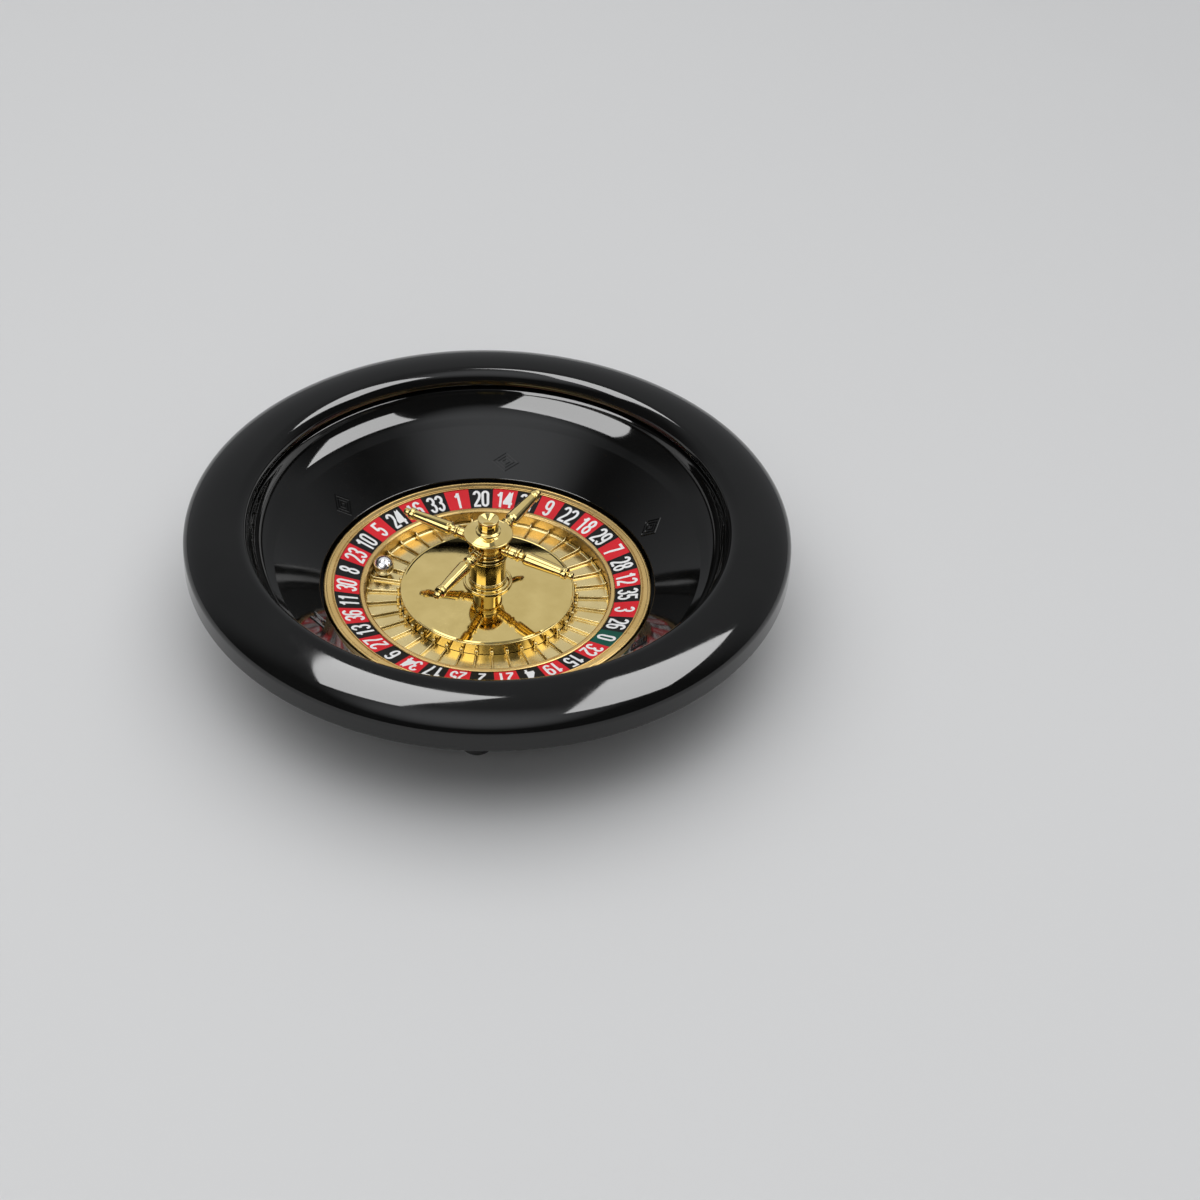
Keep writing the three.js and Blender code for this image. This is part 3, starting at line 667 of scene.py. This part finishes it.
digitStrokes = {
    0: [stroke(((0.5, 0.8), (0.5, 0.2), 0, 180), ((0.5, 0.2), (0.5, 0.2), 180, 360), (1, 0.8))],
    1: [stroke((0.62, -0.08), (0.62, 1.0)), stroke((0.02, 0.74), (0.34, 0.8), (0.62, 0.99))],
    2: [stroke(((0.5, 0.76), (0.5, 0.24), 172, 0), (1, 0.7), (0.86, 0.5), (0.1, 0.1), (0.02, 0.0)),
        stroke((-0.2, 0.0), (1.2, 0.0))],
    3: [stroke(((0.5, 0.77), (0.5, 0.23), 168, -62), (0.42, 0.535)),
        stroke((0.42, 0.535), ((0.5, 0.27), (0.52, 0.27), 62, -168))],
    4: [stroke((0.92, -0.08), (0.92, 1.0), (0.7, 1.0), (-0.2, 0.33), (-0.2, 0.22), (1.34, 0.22))],
    5: [stroke((1.1, 1.0), (0.12, 1.0), (0.06, 0.56), ((0.5, 0.3), (0.5, 0.28), 125, -165))],
    6: [stroke(((0.5, 0.8), (0.5, 0.2), 12, 180), ((0.5, 0.22), (0.5, 0.22), 180, 360),
               ((0.5, 0.38), (0.5, 0.2), 0, 168))],
    7: [stroke((-0.16, 1.0), (1.06, 1.0), (0.9, 0.72), (0.5, 0.3), (0.36, -0.08))],
    8: [stroke(((0.5, 0.765), (0.44, 0.235), 0, 360)), stroke(((0.5, 0.265), (0.52, 0.265), 0, 360))],
    9: [stroke(((0.5, 0.2), (0.5, 0.2), 192, 360), ((0.5, 0.78), (0.5, 0.22), 0, 180),
               ((0.5, 0.62), (0.5, 0.2), 180, 348))],
}


# Quads of even width along a line of points.
def thickened(line, width):
    left, right = [], []
    closed = math.dist(line[0], line[-1]) < 1e-4
    if closed:
        line = line[:-1]
    count = len(line)
    for i, point in enumerate(line):
        here = Vector(point)
        before = here - Vector(line[i - 1]) if i or closed else None
        after = Vector(line[(i + 1) % count]) - here if i < count - 1 or closed else None
        if before is None:
            before = after
        if after is None:
            after = before
        across = before.normalized() + after.normalized()
        normal = Vector((-across.y, across.x)).normalized()
        lean = normal.dot(Vector((-before.y, before.x)).normalized())
        shift = normal * width / 2 / max(lean, 0.45)
        left.append(tuple(here + shift))
        right.append(tuple(here - shift))
    spans = range(count if closed else count - 1)
    return [[left[i], right[i], right[(i + 1) % count], left[(i + 1) % count]] for i in spans]


def digitShape(digit):
    make = digitMake
    quads = []
    for line in digitStrokes[digit]:
        placed = [((x - 0.5) * make["width"], (y - 0.5) * make["height"]) for x, y in line]
        distinct = [placed[0]]
        for point in placed[1:]:
            if math.dist(point, distinct[-1]) > 1e-3:
                distinct.append(point)
        quads += thickened(distinct, make["stroke"])
    points = [Vector(p) for quad in quads for p in quad]
    loops = [[4 * i, 4 * i + 1, 4 * i + 2, 4 * i + 3] for i in range(len(quads))]
    flat, _, faces, _, _, owners = delaunay_2d_cdt(points, [], loops, 1, 1e-5)
    return [tuple(p) for p in flat], [list(face) for face, owner in zip(faces, owners) if owner]


def buildNumerals():
    make = digitMake

    def onLabel(x, y):
        return labelZ(math.hypot(x, y))

    shapes = {digit: digitShape(digit) for digit in digitStrokes}
    middle = (labelInner + labelOuter) / 2
    parts = []
    for k, number in enumerate(numbers):
        text = str(number)
        for i, character in enumerate(text):
            shift = (i - (len(text) - 1) / 2) * make["apart"]
            flat, faces = shapes[int(character)]
            points = []
            for x, y in flat:
                angle = zeroAngle - k * pitch - (x + shift) / middle
                points.append(((middle + y) * math.cos(angle), (middle + y) * math.sin(angle)))
            parts.append(slab(points, faces, onLabel, -make["sunk"], make["proud"]))
    numerals = shaped("numerals", whiteInk, *parts, soft=make["soft"])
    return settle(numerals, "wheel", "printed_ring")


# How far the floor of a pocket curls up into the outer wall.
def coveRise(r):
    make = pocketMake
    into = max(r - (make["outer"] - make["gap"] - make["cove"]), 0)
    return make["cove"] - math.sqrt(max(make["cove"] ** 2 - into ** 2, 0))


# Height of a fret's crest: level, then a gusset up to the outer wall.
def crestHeight(r):
    make = pocketMake
    into = max(r - (make["outer"] - make["gap"] - make["gussetLength"]), 0) / make["gussetLength"]
    return make["fretHeight"] + make["gusset"] * into ** 2


def buildPocketRing():
    make = pocketMake
    inner, outer = make["inner"] + make["gap"], make["outer"] - make["gap"]
    half = make["fretWidth"] / 2
    profile = [(-half - 0.35, 0), (-half - 0.16, 0.03), (-half - 0.05, 0.12), (-half, 0.28),
               (-half + 0.05, 0.7), (-half + 0.16, 0.88), (-half + 0.34, 0.97), (0, 1)]
    profile += [(-x, share) for x, share in reversed(profile[:-1])]
    flat = outer - make["cove"]
    floorSteps, coveSteps = make["floorSteps"], make["coveSteps"]
    radii = [inner + (flat - inner) * i / floorSteps for i in range(floorSteps)]
    for i in range(coveSteps + 1):
        radii.append(outer - make["cove"] * (1 - math.cos(math.pi / 2 * (1 - i / coveSteps))))
    radii = sorted(set(round(r, 4) for r in radii), reverse=True)
    built = bmesh.new()
    rings = []
    for k in range(make["count"]):
        middle = zeroAngle + (k + 0.5) * pitch
        stations = [(0, x, share) for x, share in profile]
        stations += [(pitch * part, 0, 0) for part in (0.25, 0.5, 0.75)]
        for turnBy, shift, share in stations:
            line = [(r, -make["wall"]) for r in (inner, outer)]
            line += [(r, max(coveRise(r), share * crestHeight(r))) for r in radii]
            ring = []
            for r, lift in line:
                angle = middle + turnBy + math.asin(shift / r)
                ring.append(built.verts.new(Vector((r * math.cos(angle), r * math.sin(angle),
                                                    pocketFloor(r) + lift)) * mm))
            rings.append(ring)
    skin(built, rings, len(rings[0]))
    parts = [built]
    circle, radius = inner + make["knobRadius"] - 0.1, make["knobRadius"]
    base = pocketFloor(circle) - make["knobSunk"]
    top = base + make["knobSunk"] + make["knobHeight"]
    stem = radius * make["knobStem"]
    knob = softened([(0, base), (stem, base), (stem, top - 2.2, 0.4), (radius, top - 1.6, 0.5),
                     (radius, top, radius * 0.95), (0, top)], 6)
    for k in range(make["count"]):
        angle = zeroAngle + (k + 0.5) * pitch
        place = placedAt(circle * math.cos(angle), circle * math.sin(angle))
        parts.append(turnedMesh(knob, make["knobSides"], place))
    ring = evenShading(shaped("pocket_ring_fine", pocketGold, *parts, soft=make["soft"]))
    return settle(ring, "wheel", "mirror_gold", "pocket_ring")


# A turned piece of the wheel in mirror gold, in place of a node.
def goldTurned(name, outline, sides, node):
    return settle(turned(name, outline, mirrorGold, sides), "wheel", "mirror_gold", node)


coneMake = {"bore": 8.7, "seat": 12.4, "wall": 1, "edgeDrop": 3, "bead": 0.55, "sides": 256}


def buildCone():
    make = coneMake
    radius, bottom, top = coneBox["radius"], coneBox["bottom"], coneBox["top"]
    edge = faceTop - make["edgeDrop"]
    slope = (top - edge) / (radius - make["seat"])
    lip = radius - 2 * make["bead"]
    outline = softened([
        (make["bore"], top - make["wall"]), (make["seat"], top - make["wall"]),
        (radius - make["wall"], edge - make["wall"], 0.5), (radius - make["wall"], bottom),
        (radius, bottom, 0.2), (radius, edge + 0.05, 0.5), (radius - make["bead"], edge + 0.22, 0.5),
        (lip, edge + (radius - lip) * slope - 0.12, 0.3),
        (lip - 0.9, edge + (radius - lip + 0.9) * slope, 2),
        (make["seat"], top, 2), (make["bore"], top)], 6)
    return goldTurned("mirror_cone", outline, make["sides"], "centre_cone")


turretMake = {
    "spigot": 8.4, "bore": 6, "web": 3, "base": 12.4, "baseThick": 1.3, "shaft": 9, "collar": 9.7,
    "lowCollar": 3, "highCollar": 3.6, "stud": 2.3, "studGap": 0.3, "sides": 128,
}
studHole = turretMake["stud"] + turretMake["studGap"]


def buildColumn():
    make = turretMake
    box = sizeOf("turret_column")
    seat = coneBox["top"]
    top, shaft, base = box["top"], make["shaft"], seat + make["baseThick"]
    high, low = top - make["highCollar"], base + make["lowCollar"]
    bore, spigot, rim, collar = make["bore"], make["spigot"], make["base"], make["collar"]
    outline = softened([
        (bore, box["bottom"], 0.3), (spigot, box["bottom"], 0.4), (spigot, seat), (rim, seat, 0.15),
        (rim, base - 0.1, 0.45), (rim - 0.9, base + 0.05, 0.45), (rim - 1.3, base - 0.35, 0.3),
        (shaft + 1.6, base - 0.3, 0.4), (shaft + 0.45, base - 0.1, 0.3), (shaft + 0.4, low - 0.9, 0.2),
        (shaft + 0.12, low - 0.7, 0.12), (shaft + 0.4, low - 0.5, 0.15), (shaft + 0.4, low, 0.3),
        (shaft, low + 0.1, 0.2), (shaft, high - 0.2, 0.3), (collar, high, 0.35),
        (collar, high + 1.2, 0.3), (collar - 0.3, high + 1.4, 0.12), (collar, high + 1.6, 0.3),
        (collar, top, 0.5), (studHole, top), (studHole, top - make["web"]), (bore, top - make["web"]),
    ])
    return goldTurned("turret_column_fine", outline, make["sides"], "turret_column")


def buildHub():
    make = turretMake
    box = sizeOf("turret_hub")
    r, low, high = box["radius"], box["bottom"], box["top"]
    outline = softened([
        (studHole, low), (r - 0.5, low, 0.2), (r - 0.1, low + 0.7, 0.4), (r - 0.5, low + 1.3, 0.3),
        (r - 0.5, low + 2, 0.4), (r, low + 3.2, 0.8), (r, high - 2.4, 0.8), (r - 0.5, high - 1.4, 0.4),
        (r - 0.5, high - 0.7, 0.3), (r, high - 0.3, 0.2), (r, high), (studHole, high),
    ])
    return goldTurned("turret_hub_fine", outline, make["sides"], "turret_hub")


def buildPlate():
    make = turretMake
    box = sizeOf("turret_plate")
    r, low, high = box["radius"], box["bottom"], box["top"]
    edge = low + 1.4
    outline = softened([
        (studHole, low), (r - 0.5, low, 0.4), (r, low + 0.5, 0.4), (r, edge - 0.1, 0.5),
        (r - 0.9, edge + 0.08, 0.4), (r - 1.2, edge - 0.02, 0.3), (7.4, high - 0.35, 1.5),
        (6.3, high, 0.4), (studHole, high),
    ])
    return goldTurned("turret_plate_fine", outline, make["sides"], "turret_plate")


capMake = {"foot": 6.3, "neck": 4.95, "head": 5.26, "tall": 7.7, "dish": 1.5, "sides": 96}


def buildCap():
    make = capMake
    box = sizeOf("turret_cap")
    top, low = box["top"], box["bottom"]
    seat = top - make["tall"]
    foot, neck, head, stud = make["foot"], make["neck"], make["head"], turretMake["stud"]
    dish = []
    for r in (3.9, 3.2, 2.4, 1.6, 0.8, 0.3, 0):
        dish.append((r, top - make["dish"] * (1 - (r / (head - 0.7)) ** 1.5)))
    outline = softened([
        (0, low), (stud, low, 0.3), (stud, seat), (foot, seat, 0.1), (foot, seat + 0.6, 0.3),
        (foot - 0.5, seat + 1.0, 0.3), (neck, seat + 1.3, 0.5), (neck - 0.1, seat + 2.4, 0.5),
        (neck + 0.25, seat + 2.9, 0.3), (neck, seat + 3.3, 0.3), (head - 0.15, top - 2, 1),
        (head, top - 1.1, 0.4), (head, top - 0.05, 0.4), (head - 0.6, top, 0.3),
        (head - 0.95, top - 0.18)])
    return goldTurned("turret_cap_fine", outline + dish, make["sides"], "turret_cap")


armMake = {
    "root": 8.8, "socket": 3.6, "spigot": 1.6, "thick": 2.95, "groove": 0.35, "ring": 3.3, "neck": 2.25,
    "body": 3.5, "slim": 2.5, "collar": 3.05, "tip": 1.9, "tipCorner": 1, "arms": 4, "sides": 64,
}


# A turned arm, drawn as (radius, distance from the wheel's axis).
def buildArms():
    make = armMake
    low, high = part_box("turret_arm_1")
    height = (low.z + high.z) / 2
    root, thick, ring, neck, collar = (make[key] for key in ("root", "thick", "ring", "neck", "collar"))
    body, slim, tipRadius, cut = make["body"], make["slim"], make["tip"], make["groove"]
    tip = max((nodes["turret_arm_1"].matrix_world @ v.co).to_2d().length
              for v in nodes["turret_arm_1"].data.vertices) / mm
    tip = math.sqrt(tip ** 2 - make["tipCorner"] ** 2)
    outline = softened([
        (0, root - make["socket"]), (make["spigot"], root - make["socket"], 0.3), (make["spigot"], root),
        (thick - cut, root, 0.2), (thick, root + 0.5, 0.3), (thick, root + 2.2, 0.3),
        (thick - cut, root + 2.6, 0.2), (thick, root + 3.0, 0.3), (thick, root + 3.9, 0.3),
        (thick - cut, root + 4.3, 0.2), (thick, root + 4.7, 0.3), (thick, root + 7.2, 0.4),
        (thick - 0.45, root + 7.8, 0.3), (thick - 0.2, root + 8.3, 0.2), (ring, root + 8.7, 0.4),
        (ring, root + 9.5, 0.4), (neck, root + 10, 0.3), (neck, root + 11.9, 0.5),
        (body - 0.2, root + 12.9, 0.4), (body, root + 14.2, 1.2), (slim + 0.45, tip - 14, 20),
        (slim, tip - 6.8, 1), (slim - 0.1, tip - 6.4, 0.15),
        (collar - 0.15, tip - 6.1, 0.35), (collar, tip - 4.8, 1), (collar - 0.1, tip - 3.5, 0.4),
        (tipRadius - 0.3, tip - 3.1, 0.2), (tipRadius - 0.25, tip - 2.7, 0.3),
        (tipRadius, tip - 1.7, 0.8),
        (tipRadius - 0.2, tip - 0.3, 0.7), (tipRadius - 0.9, tip, 0.5), (0, tip),
    ], 5)
    for i in range(make["arms"]):
        name = f"turret_arm_{i + 1}"
        place = Matrix.Translation((0, 0, height)) @ Matrix.Rotation(bearingOf(name), 4, "Z")
        place = place @ Matrix.Rotation(math.pi / 2, 4, "Y")
        arm = turned(f"arm_{i + 1}", outline, mirrorGold, make["sides"], place)
        settle(arm, "wheel", "mirror_gold", name)


def buildBall():
    spot = middleOf("steel_ball")
    low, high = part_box("steel_ball")
    radius = (high.z - low.z) / 2 / mm
    outline = ellipseArc((0, 0), (radius, radius), -90, 90, 36)
    outline[0] = (0, -radius)
    outline[-1] = (0, radius)
    ball = turned("ball", outline, polishedSteel, 96, placedAt(*spot))
    return settle(ball, "ball", "ball_steel", "steel_ball")


footMake = {"count": 4, "stem": 2.9, "barb": 4, "barbTall": 2.4, "grip": 0.5, "gap": 0.05, "sides": 64}


def buildFeet():
    make = footMake
    stem, barbRadius = make["stem"], make["barb"]
    for i in range(make["count"]):
        name = f"foot_{i + 1}"
        low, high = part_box(name)
        spot = middleOf(name)
        radius = (high.y - low.y) / 2 / mm
        top = bowlBox["bottom"] - make["gap"]
        barb = bowlBox["bottom"] + bowlMake["floor"] + 0.3
        barbTop = barb + make["barbTall"]
        outline = softened([
            (0, 0.6), (1.6, 0.6, 0.2), (2.0, 0, 0.2), (2.0 + 2 * make["grip"], 0, 0.2),
            (3.3, 0.6, 0.2), (4.2, 0.6, 0.2), (4.5, 0, 0.2), (radius - 1, 0, 0.3), (radius, 1, 0.5),
            (radius, top - 0.6, 0.4), (radius - 0.6, top, 0.3), (stem, top, 0.2), (stem, barb, 0.1),
            (barbRadius, barb, 0.2), (stem - 0.6, barbTop, 0.4), (0, barbTop)], 3)
        foot = turned(f"rubber_foot_{i + 1}", outline, rubber, make["sides"], placedAt(spot.x, spot.y))
        settle(foot, "bowl", "foot_rubber", name)


screwMake = {
    "shank": 1.4, "head": 3.2, "headHeight": 1.8, "slotWidth": 0.75, "slotLength": 3.6,
    "slotDepth": 1.1, "headGap": 0.05, "turnEach": 1.1, "sides": 32,
}


def buildScrews():
    make = screwMake
    flange = bowlBox["top"] - bowlMake["wall"] - make["headGap"]
    tip = sizeOf("rim_screw_1")["top"]
    low = flange - make["headHeight"]
    outline = softened([
        (0, low - 0.02), (make["head"] - 1.2, low, 1), (make["head"], low + 1, 0.8),
        (make["head"], flange, 0.1),
        (make["shank"], flange), (make["shank"], tip - 1.2), (0, tip)], 5)
    screw = shaped("screwPattern", steel, turnedMesh(outline, make["sides"]))
    bars = []
    for angle in (0, math.pi / 2):
        bar = bmesh.new()
        bmesh.ops.create_cube(bar, size=mm)
        size = (make["slotLength"], make["slotWidth"], 2 * make["slotDepth"])
        matrix = Matrix.Rotation(angle, 4, "Z") @ Matrix.Diagonal((*size, 1))
        bmesh.ops.transform(bar, matrix=placedAt(0, 0, low) @ matrix, verts=bar.verts)
        bars.append(bar)
    cross = shaped("barA", steel, bars[0])
    cutOrJoin(cross, shaped("barB", steel, bars[1]), "UNION")
    cutOrJoin(screw, cross, "DIFFERENCE")
    pattern = screw.data.copy()
    bpy.data.objects.remove(screw)
    for i in range(rimMake["screws"]):
        name = f"rim_screw_{i + 1}"
        spot = middleOf(name)
        mesh = pattern.copy()
        mesh.transform(placedAt(spot.x, spot.y) @ Matrix.Rotation(make["turnEach"] * i, 4, "Z"))
        one = toObject(f"screw_{i + 1}", mesh, [])
        settle(evenShading(one), "bowl", "screw_steel", name)


spindleMake = {
    "radius": 3, "flangeThick": 1.4, "gap": 0.05, "threadDepth": 0.35, "threadPitch": 0.5,
    "sides": 48,
}
washerMake = {"bore": 3.3, "sides": 64}
nutMake = {"bore": 3.15, "face": 3.6, "proud": 0.01, "past": 0.1, "cut": 0.75, "soft": 25, "sides": 96}


def buildSpindle():
    make = spindleMake
    box = sizeOf("spindle")
    low, top, flange = box["bottom"], box["top"], box["radius"]
    radius, threadPitch = make["radius"], make["threadPitch"]
    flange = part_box("spindle")[1].y / mm
    seat = bowlBox["bottom"] + bowlMake["floor"] + bowlMake["bossRise"] + make["gap"]
    flangeTop = seat + make["flangeThick"]
    thread = []
    z = low + threadPitch
    while z < bowlBox["bottom"]:
        thread += [(radius - make["threadDepth"], z), (radius, z + threadPitch / 2)]
        z += threadPitch
    outline = [(0, low), (radius - 0.5, low)] + thread + softened([
        (radius, bowlBox["bottom"] + 0.4), (radius, seat), (flange, seat, 0.2),
        (flange, flangeTop, 0.3), (radius, flangeTop), (radius, top - 1.5, 0.3), (1.5, top, 0.3),
        (0, top)])
    spindle = turned("spindle_fine", outline, steel, make["sides"])
    return settle(spindle, "bowl", "spindle_steel", "spindle")


def buildWasher():
    box = sizeOf("spindle_washer")
    bore, outer, low, high = washerMake["bore"], box["radius"], box["bottom"], box["top"]
    outline = softened([(bore, low, 0.1), (outer, low, 0.2), (outer, high, 0.2), (bore, high, 0.1)])
    washer = turned("spindle_washer_fine", outline, steel, washerMake["sides"])
    return settle(washer, "bowl", "spindle_steel", "spindle_washer")


# A hexagon with its corners turned off, top and bottom.
def buildNut():
    make = nutMake
    box = sizeOf("spindle_nut")
    low, high, flats = box["bottom"], box["top"], box["radius"]
    corner = flats / math.cos(math.pi / 6)
    spots = [(corner * math.cos(turn * i / 6), corner * math.sin(turn * i / 6)) for i in range(6)]
    hexagon = prism([(*spot, low) for spot in spots], [(*spot, high) for spot in spots])
    nut = shaped("nut", steel, hexagon)
    bore, face, past, cut = make["bore"], make["face"], corner + make["past"], make["cut"]
    dome = [(bore, low), (face, low - make["proud"]), (flats, low), (past, low + cut),
            (past, high - cut), (flats, high), (face, high + make["proud"]), (bore, high)]
    cutOrJoin(nut, shaped("dome", steel, turnedMesh(dome, make["sides"])), "INTERSECT")
    nut.name = "spindle_nut_fine"
    nut.data.shade_smooth()
    nut.data.set_sharp_from_angle(angle=math.radians(make["soft"]))
    return settle(nut, "bowl", "spindle_steel", "spindle_nut")


stages = {
    "bowl and rim": (buildBowl, buildDiamonds, buildRim),
    "number ring": (buildNumberFrame, buildNumberRing, buildNumerals),
    "pockets and cone": (buildPocketRing, buildCone),
    "turret": (buildColumn, buildHub, buildPlate, buildCap, buildArms),
    "ball, feet and screws": (buildBall, buildFeet, buildScrews),
    "spindle": (buildSpindle, buildWasher, buildNut),
}
for stage, builders in stages.items():
    for build in builders:
        build()
    print(f"{stage} built")

stageMake = {
    "floor": tone(0.7, 0.7, 0.7), "backdrop": 0.3, "room": 0.05, "ceiling": 0.28,
    "glow": 0.85, "glowFrom": (-0.05, -0.4, 0.91), "skyColour": tone(0.95, 0.97, 1.0),
    "backdropRise": (-0.1, 0.45), "ceilingRise": (0.7, 0.95), "glowRise": (0.8, 1),
    "floorReach": 6, "floorRough": 0.75, "sensor": 36,
    "cameraPlace": (0.0566, -1.2502, 1.0665), "tilt": 49.97, "roll": 2.41, "lens": 97.5,
}
# Four soft panels stand round the wheel. "shine" is what a gloss surface mirrors: bright on the
# black plastic, dim on the metal. Wide panels above and in front only fill the shadows, and a
# backdrop panel gives the metal something pale to mirror.
panelMake = {
    "distance": 1.0, "aimHeight": 0.04, "plasticShine": 10.0, "metalShine": 2.4,
    "fill": 1.05, "fillSize": 2.6, "fillPlace": (-0.25, 0.1, 1.5),
    "frontFill": 0.5, "frontPlace": (0, -2, 1), "frontSize": (2.6, 1.4), "frontTip": 64,
    "backdrop": 0.5, "backdropPlace": (0, 1.7, 1.25), "backdropSize": (4.6, 2.5),
    "backdropTip": -62,
    "panels": {
        "rear left": {"azimuth": 144.3, "elevation": 71.6, "lean": -40.1, "roll": -167.4, "width": 0.681,
                      "length": 0.399, "seenIn": ("rim",)},
        "rear right": {"azimuth": 12.5, "elevation": 58.8, "lean": 40.1, "roll": -94.4, "width": 0.6,
                       "length": 0.68, "seenIn": ("rim",)},
        "right": {"azimuth": -13.3, "elevation": 32.6, "lean": 39.9, "roll": -27.2, "width": 0.725,
                  "length": 0.705, "seenIn": ("bowl", "bowl_diamonds")},
        "front left": {"azimuth": -128.9, "elevation": 24.5, "lean": -4.7, "roll": 87.0, "width": 1.062,
                       "length": 1.015, "seenIn": ("bowl", "bowl_diamonds")},
    },
}


# The room: a lit backdrop behind the wheel, a dimmer ceiling, and a soft glow above and in front.
def buildWorld():
    make = stageMake
    sky = Nodes(bpy.data.worlds.new("studio"), "Background", "Generated")
    axes = sky.add("ShaderNodeSeparateXYZ", {0: sky.where}).outputs
    glowFrom = Vector(make["glowFrom"]).normalized()
    towards = sky.add("ShaderNodeVectorMath", {0: sky.where, 1: glowFrom}, operation="DOT_PRODUCT")
    back = sky.spread(axes["Y"], make["room"], make["backdrop"], *make["backdropRise"], "SMOOTHSTEP")
    above = sky.spread(axes["Z"], 0, make["ceiling"], *make["ceilingRise"], "SMOOTHSTEP")
    glow = sky.spread(towards.outputs["Value"], 0, make["glow"], *make["glowRise"], "SMOOTHSTEP")
    sky.link(sky.calc("ADD", sky.calc("MAXIMUM", back, above), glow), "Strength")
    sky.shader.inputs["Color"].default_value = make["skyColour"]
    bpy.context.scene.world = sky.owner


# Where a panel stands and which way it faces.
def panelPlace(panel):
    azimuth, elevation = math.radians(panel["azimuth"]), math.radians(panel["elevation"])
    lean, roll = math.radians(panel["lean"]), math.radians(panel["roll"])
    outwards = Vector((math.cos(elevation) * math.cos(azimuth), math.cos(elevation) * math.sin(azimuth),
                       math.sin(elevation)))
    middle = outwards * panelMake["distance"] + Vector((0, 0, panelMake["aimHeight"]))
    level = Vector((0, 0, 1)).cross(outwards).normalized()
    facing = outwards * math.cos(lean) + outwards.cross(level) * math.sin(lean)
    upright = facing.cross(level)
    across = level * math.cos(roll) + upright * math.sin(roll)
    along = facing.cross(across)
    return Matrix.Translation(middle) @ Matrix((across, along, facing)).transposed().to_4x4()


def addPanel(name, place, width, length, radiance, diffuse, seenIn=None):
    light = bpy.data.lights.new(name, "AREA")
    light.shape = "RECTANGLE"
    light.size = width
    light.size_y = length
    light.energy = radiance * math.pi * width * length
    lamp = bpy.data.objects.new(name, light)
    lamp.matrix_world = place
    lamp.visible_diffuse = diffuse
    lamp.visible_glossy = not diffuse
    bpy.context.scene.collection.objects.link(lamp)
    if seenIn:
        receivers = bpy.data.collections.new(name)
        for pieceName in seenIn:
            receivers.objects.link(bpy.data.objects[pieceName])
        lamp.light_linking.receiver_collection = receivers


def buildPanels():
    make = panelMake
    plastic = {"rim", "bowl", "bowl_diamonds"}
    others = [piece.name for piece in bpy.data.objects if piece.type == "MESH" and not piece.hide_render
              and piece.name not in plastic]
    for name, panel in make["panels"].items():
        place = panelPlace(panel)
        size = panel["width"], panel["length"]
        addPanel(f"{name} on plastic", place, *size, make["plasticShine"], False, panel["seenIn"])
        addPanel(f"{name} on metal", place, *size, make["metalShine"], False, others)
    fill = Matrix.Translation(make["fillPlace"])
    addPanel("fill", fill, make["fillSize"], make["fillSize"], make["fill"], True)
    frontTip = Matrix.Rotation(math.radians(make["frontTip"]), 4, "X")
    front = Matrix.Translation(make["frontPlace"]) @ frontTip
    addPanel("front fill", front, *make["frontSize"], make["frontFill"], True)
    backTip = Matrix.Rotation(math.radians(make["backdropTip"]), 4, "X")
    behind = Matrix.Translation(make["backdropPlace"]) @ backTip
    addPanel("backdrop on metal", behind, *make["backdropSize"], make["backdrop"], False, others)


def buildStage():
    make = stageMake
    floorMesh = bpy.data.meshes.new("floor")
    reach = make["floorReach"]
    corners = [(-reach, -reach, 0), (reach, -reach, 0), (reach, reach, 0), (-reach, reach, 0)]
    floorMesh.from_pydata(corners, [], [(0, 1, 2, 3)])
    floor = bpy.data.objects.new("floor", floorMesh)
    bpy.context.scene.collection.objects.link(floor)
    paper = Nodes(bpy.data.materials.new("pale paper"))
    paper.shader.inputs["Base Color"].default_value = make["floor"]
    paper.shader.inputs["Roughness"].default_value = make["floorRough"]
    floorMesh.materials.append(paper.owner)
    buildWorld()
    buildPanels()
    cameraData = bpy.data.cameras.new("camera")
    cameraData.lens = make["lens"]
    cameraData.sensor_width = make["sensor"]
    camera = bpy.data.objects.new("camera", cameraData)
    camera.matrix_world = (Matrix.Translation(make["cameraPlace"])
                           @ Matrix.Rotation(math.radians(make["tilt"]), 4, "X")
                           @ Matrix.Rotation(math.radians(make["roll"]), 4, "Z"))
    bpy.context.scene.collection.objects.link(camera)
    bpy.context.scene.camera = camera
    bpy.context.scene.view_settings.view_transform = "Standard"


buildStage()
print("stage built")
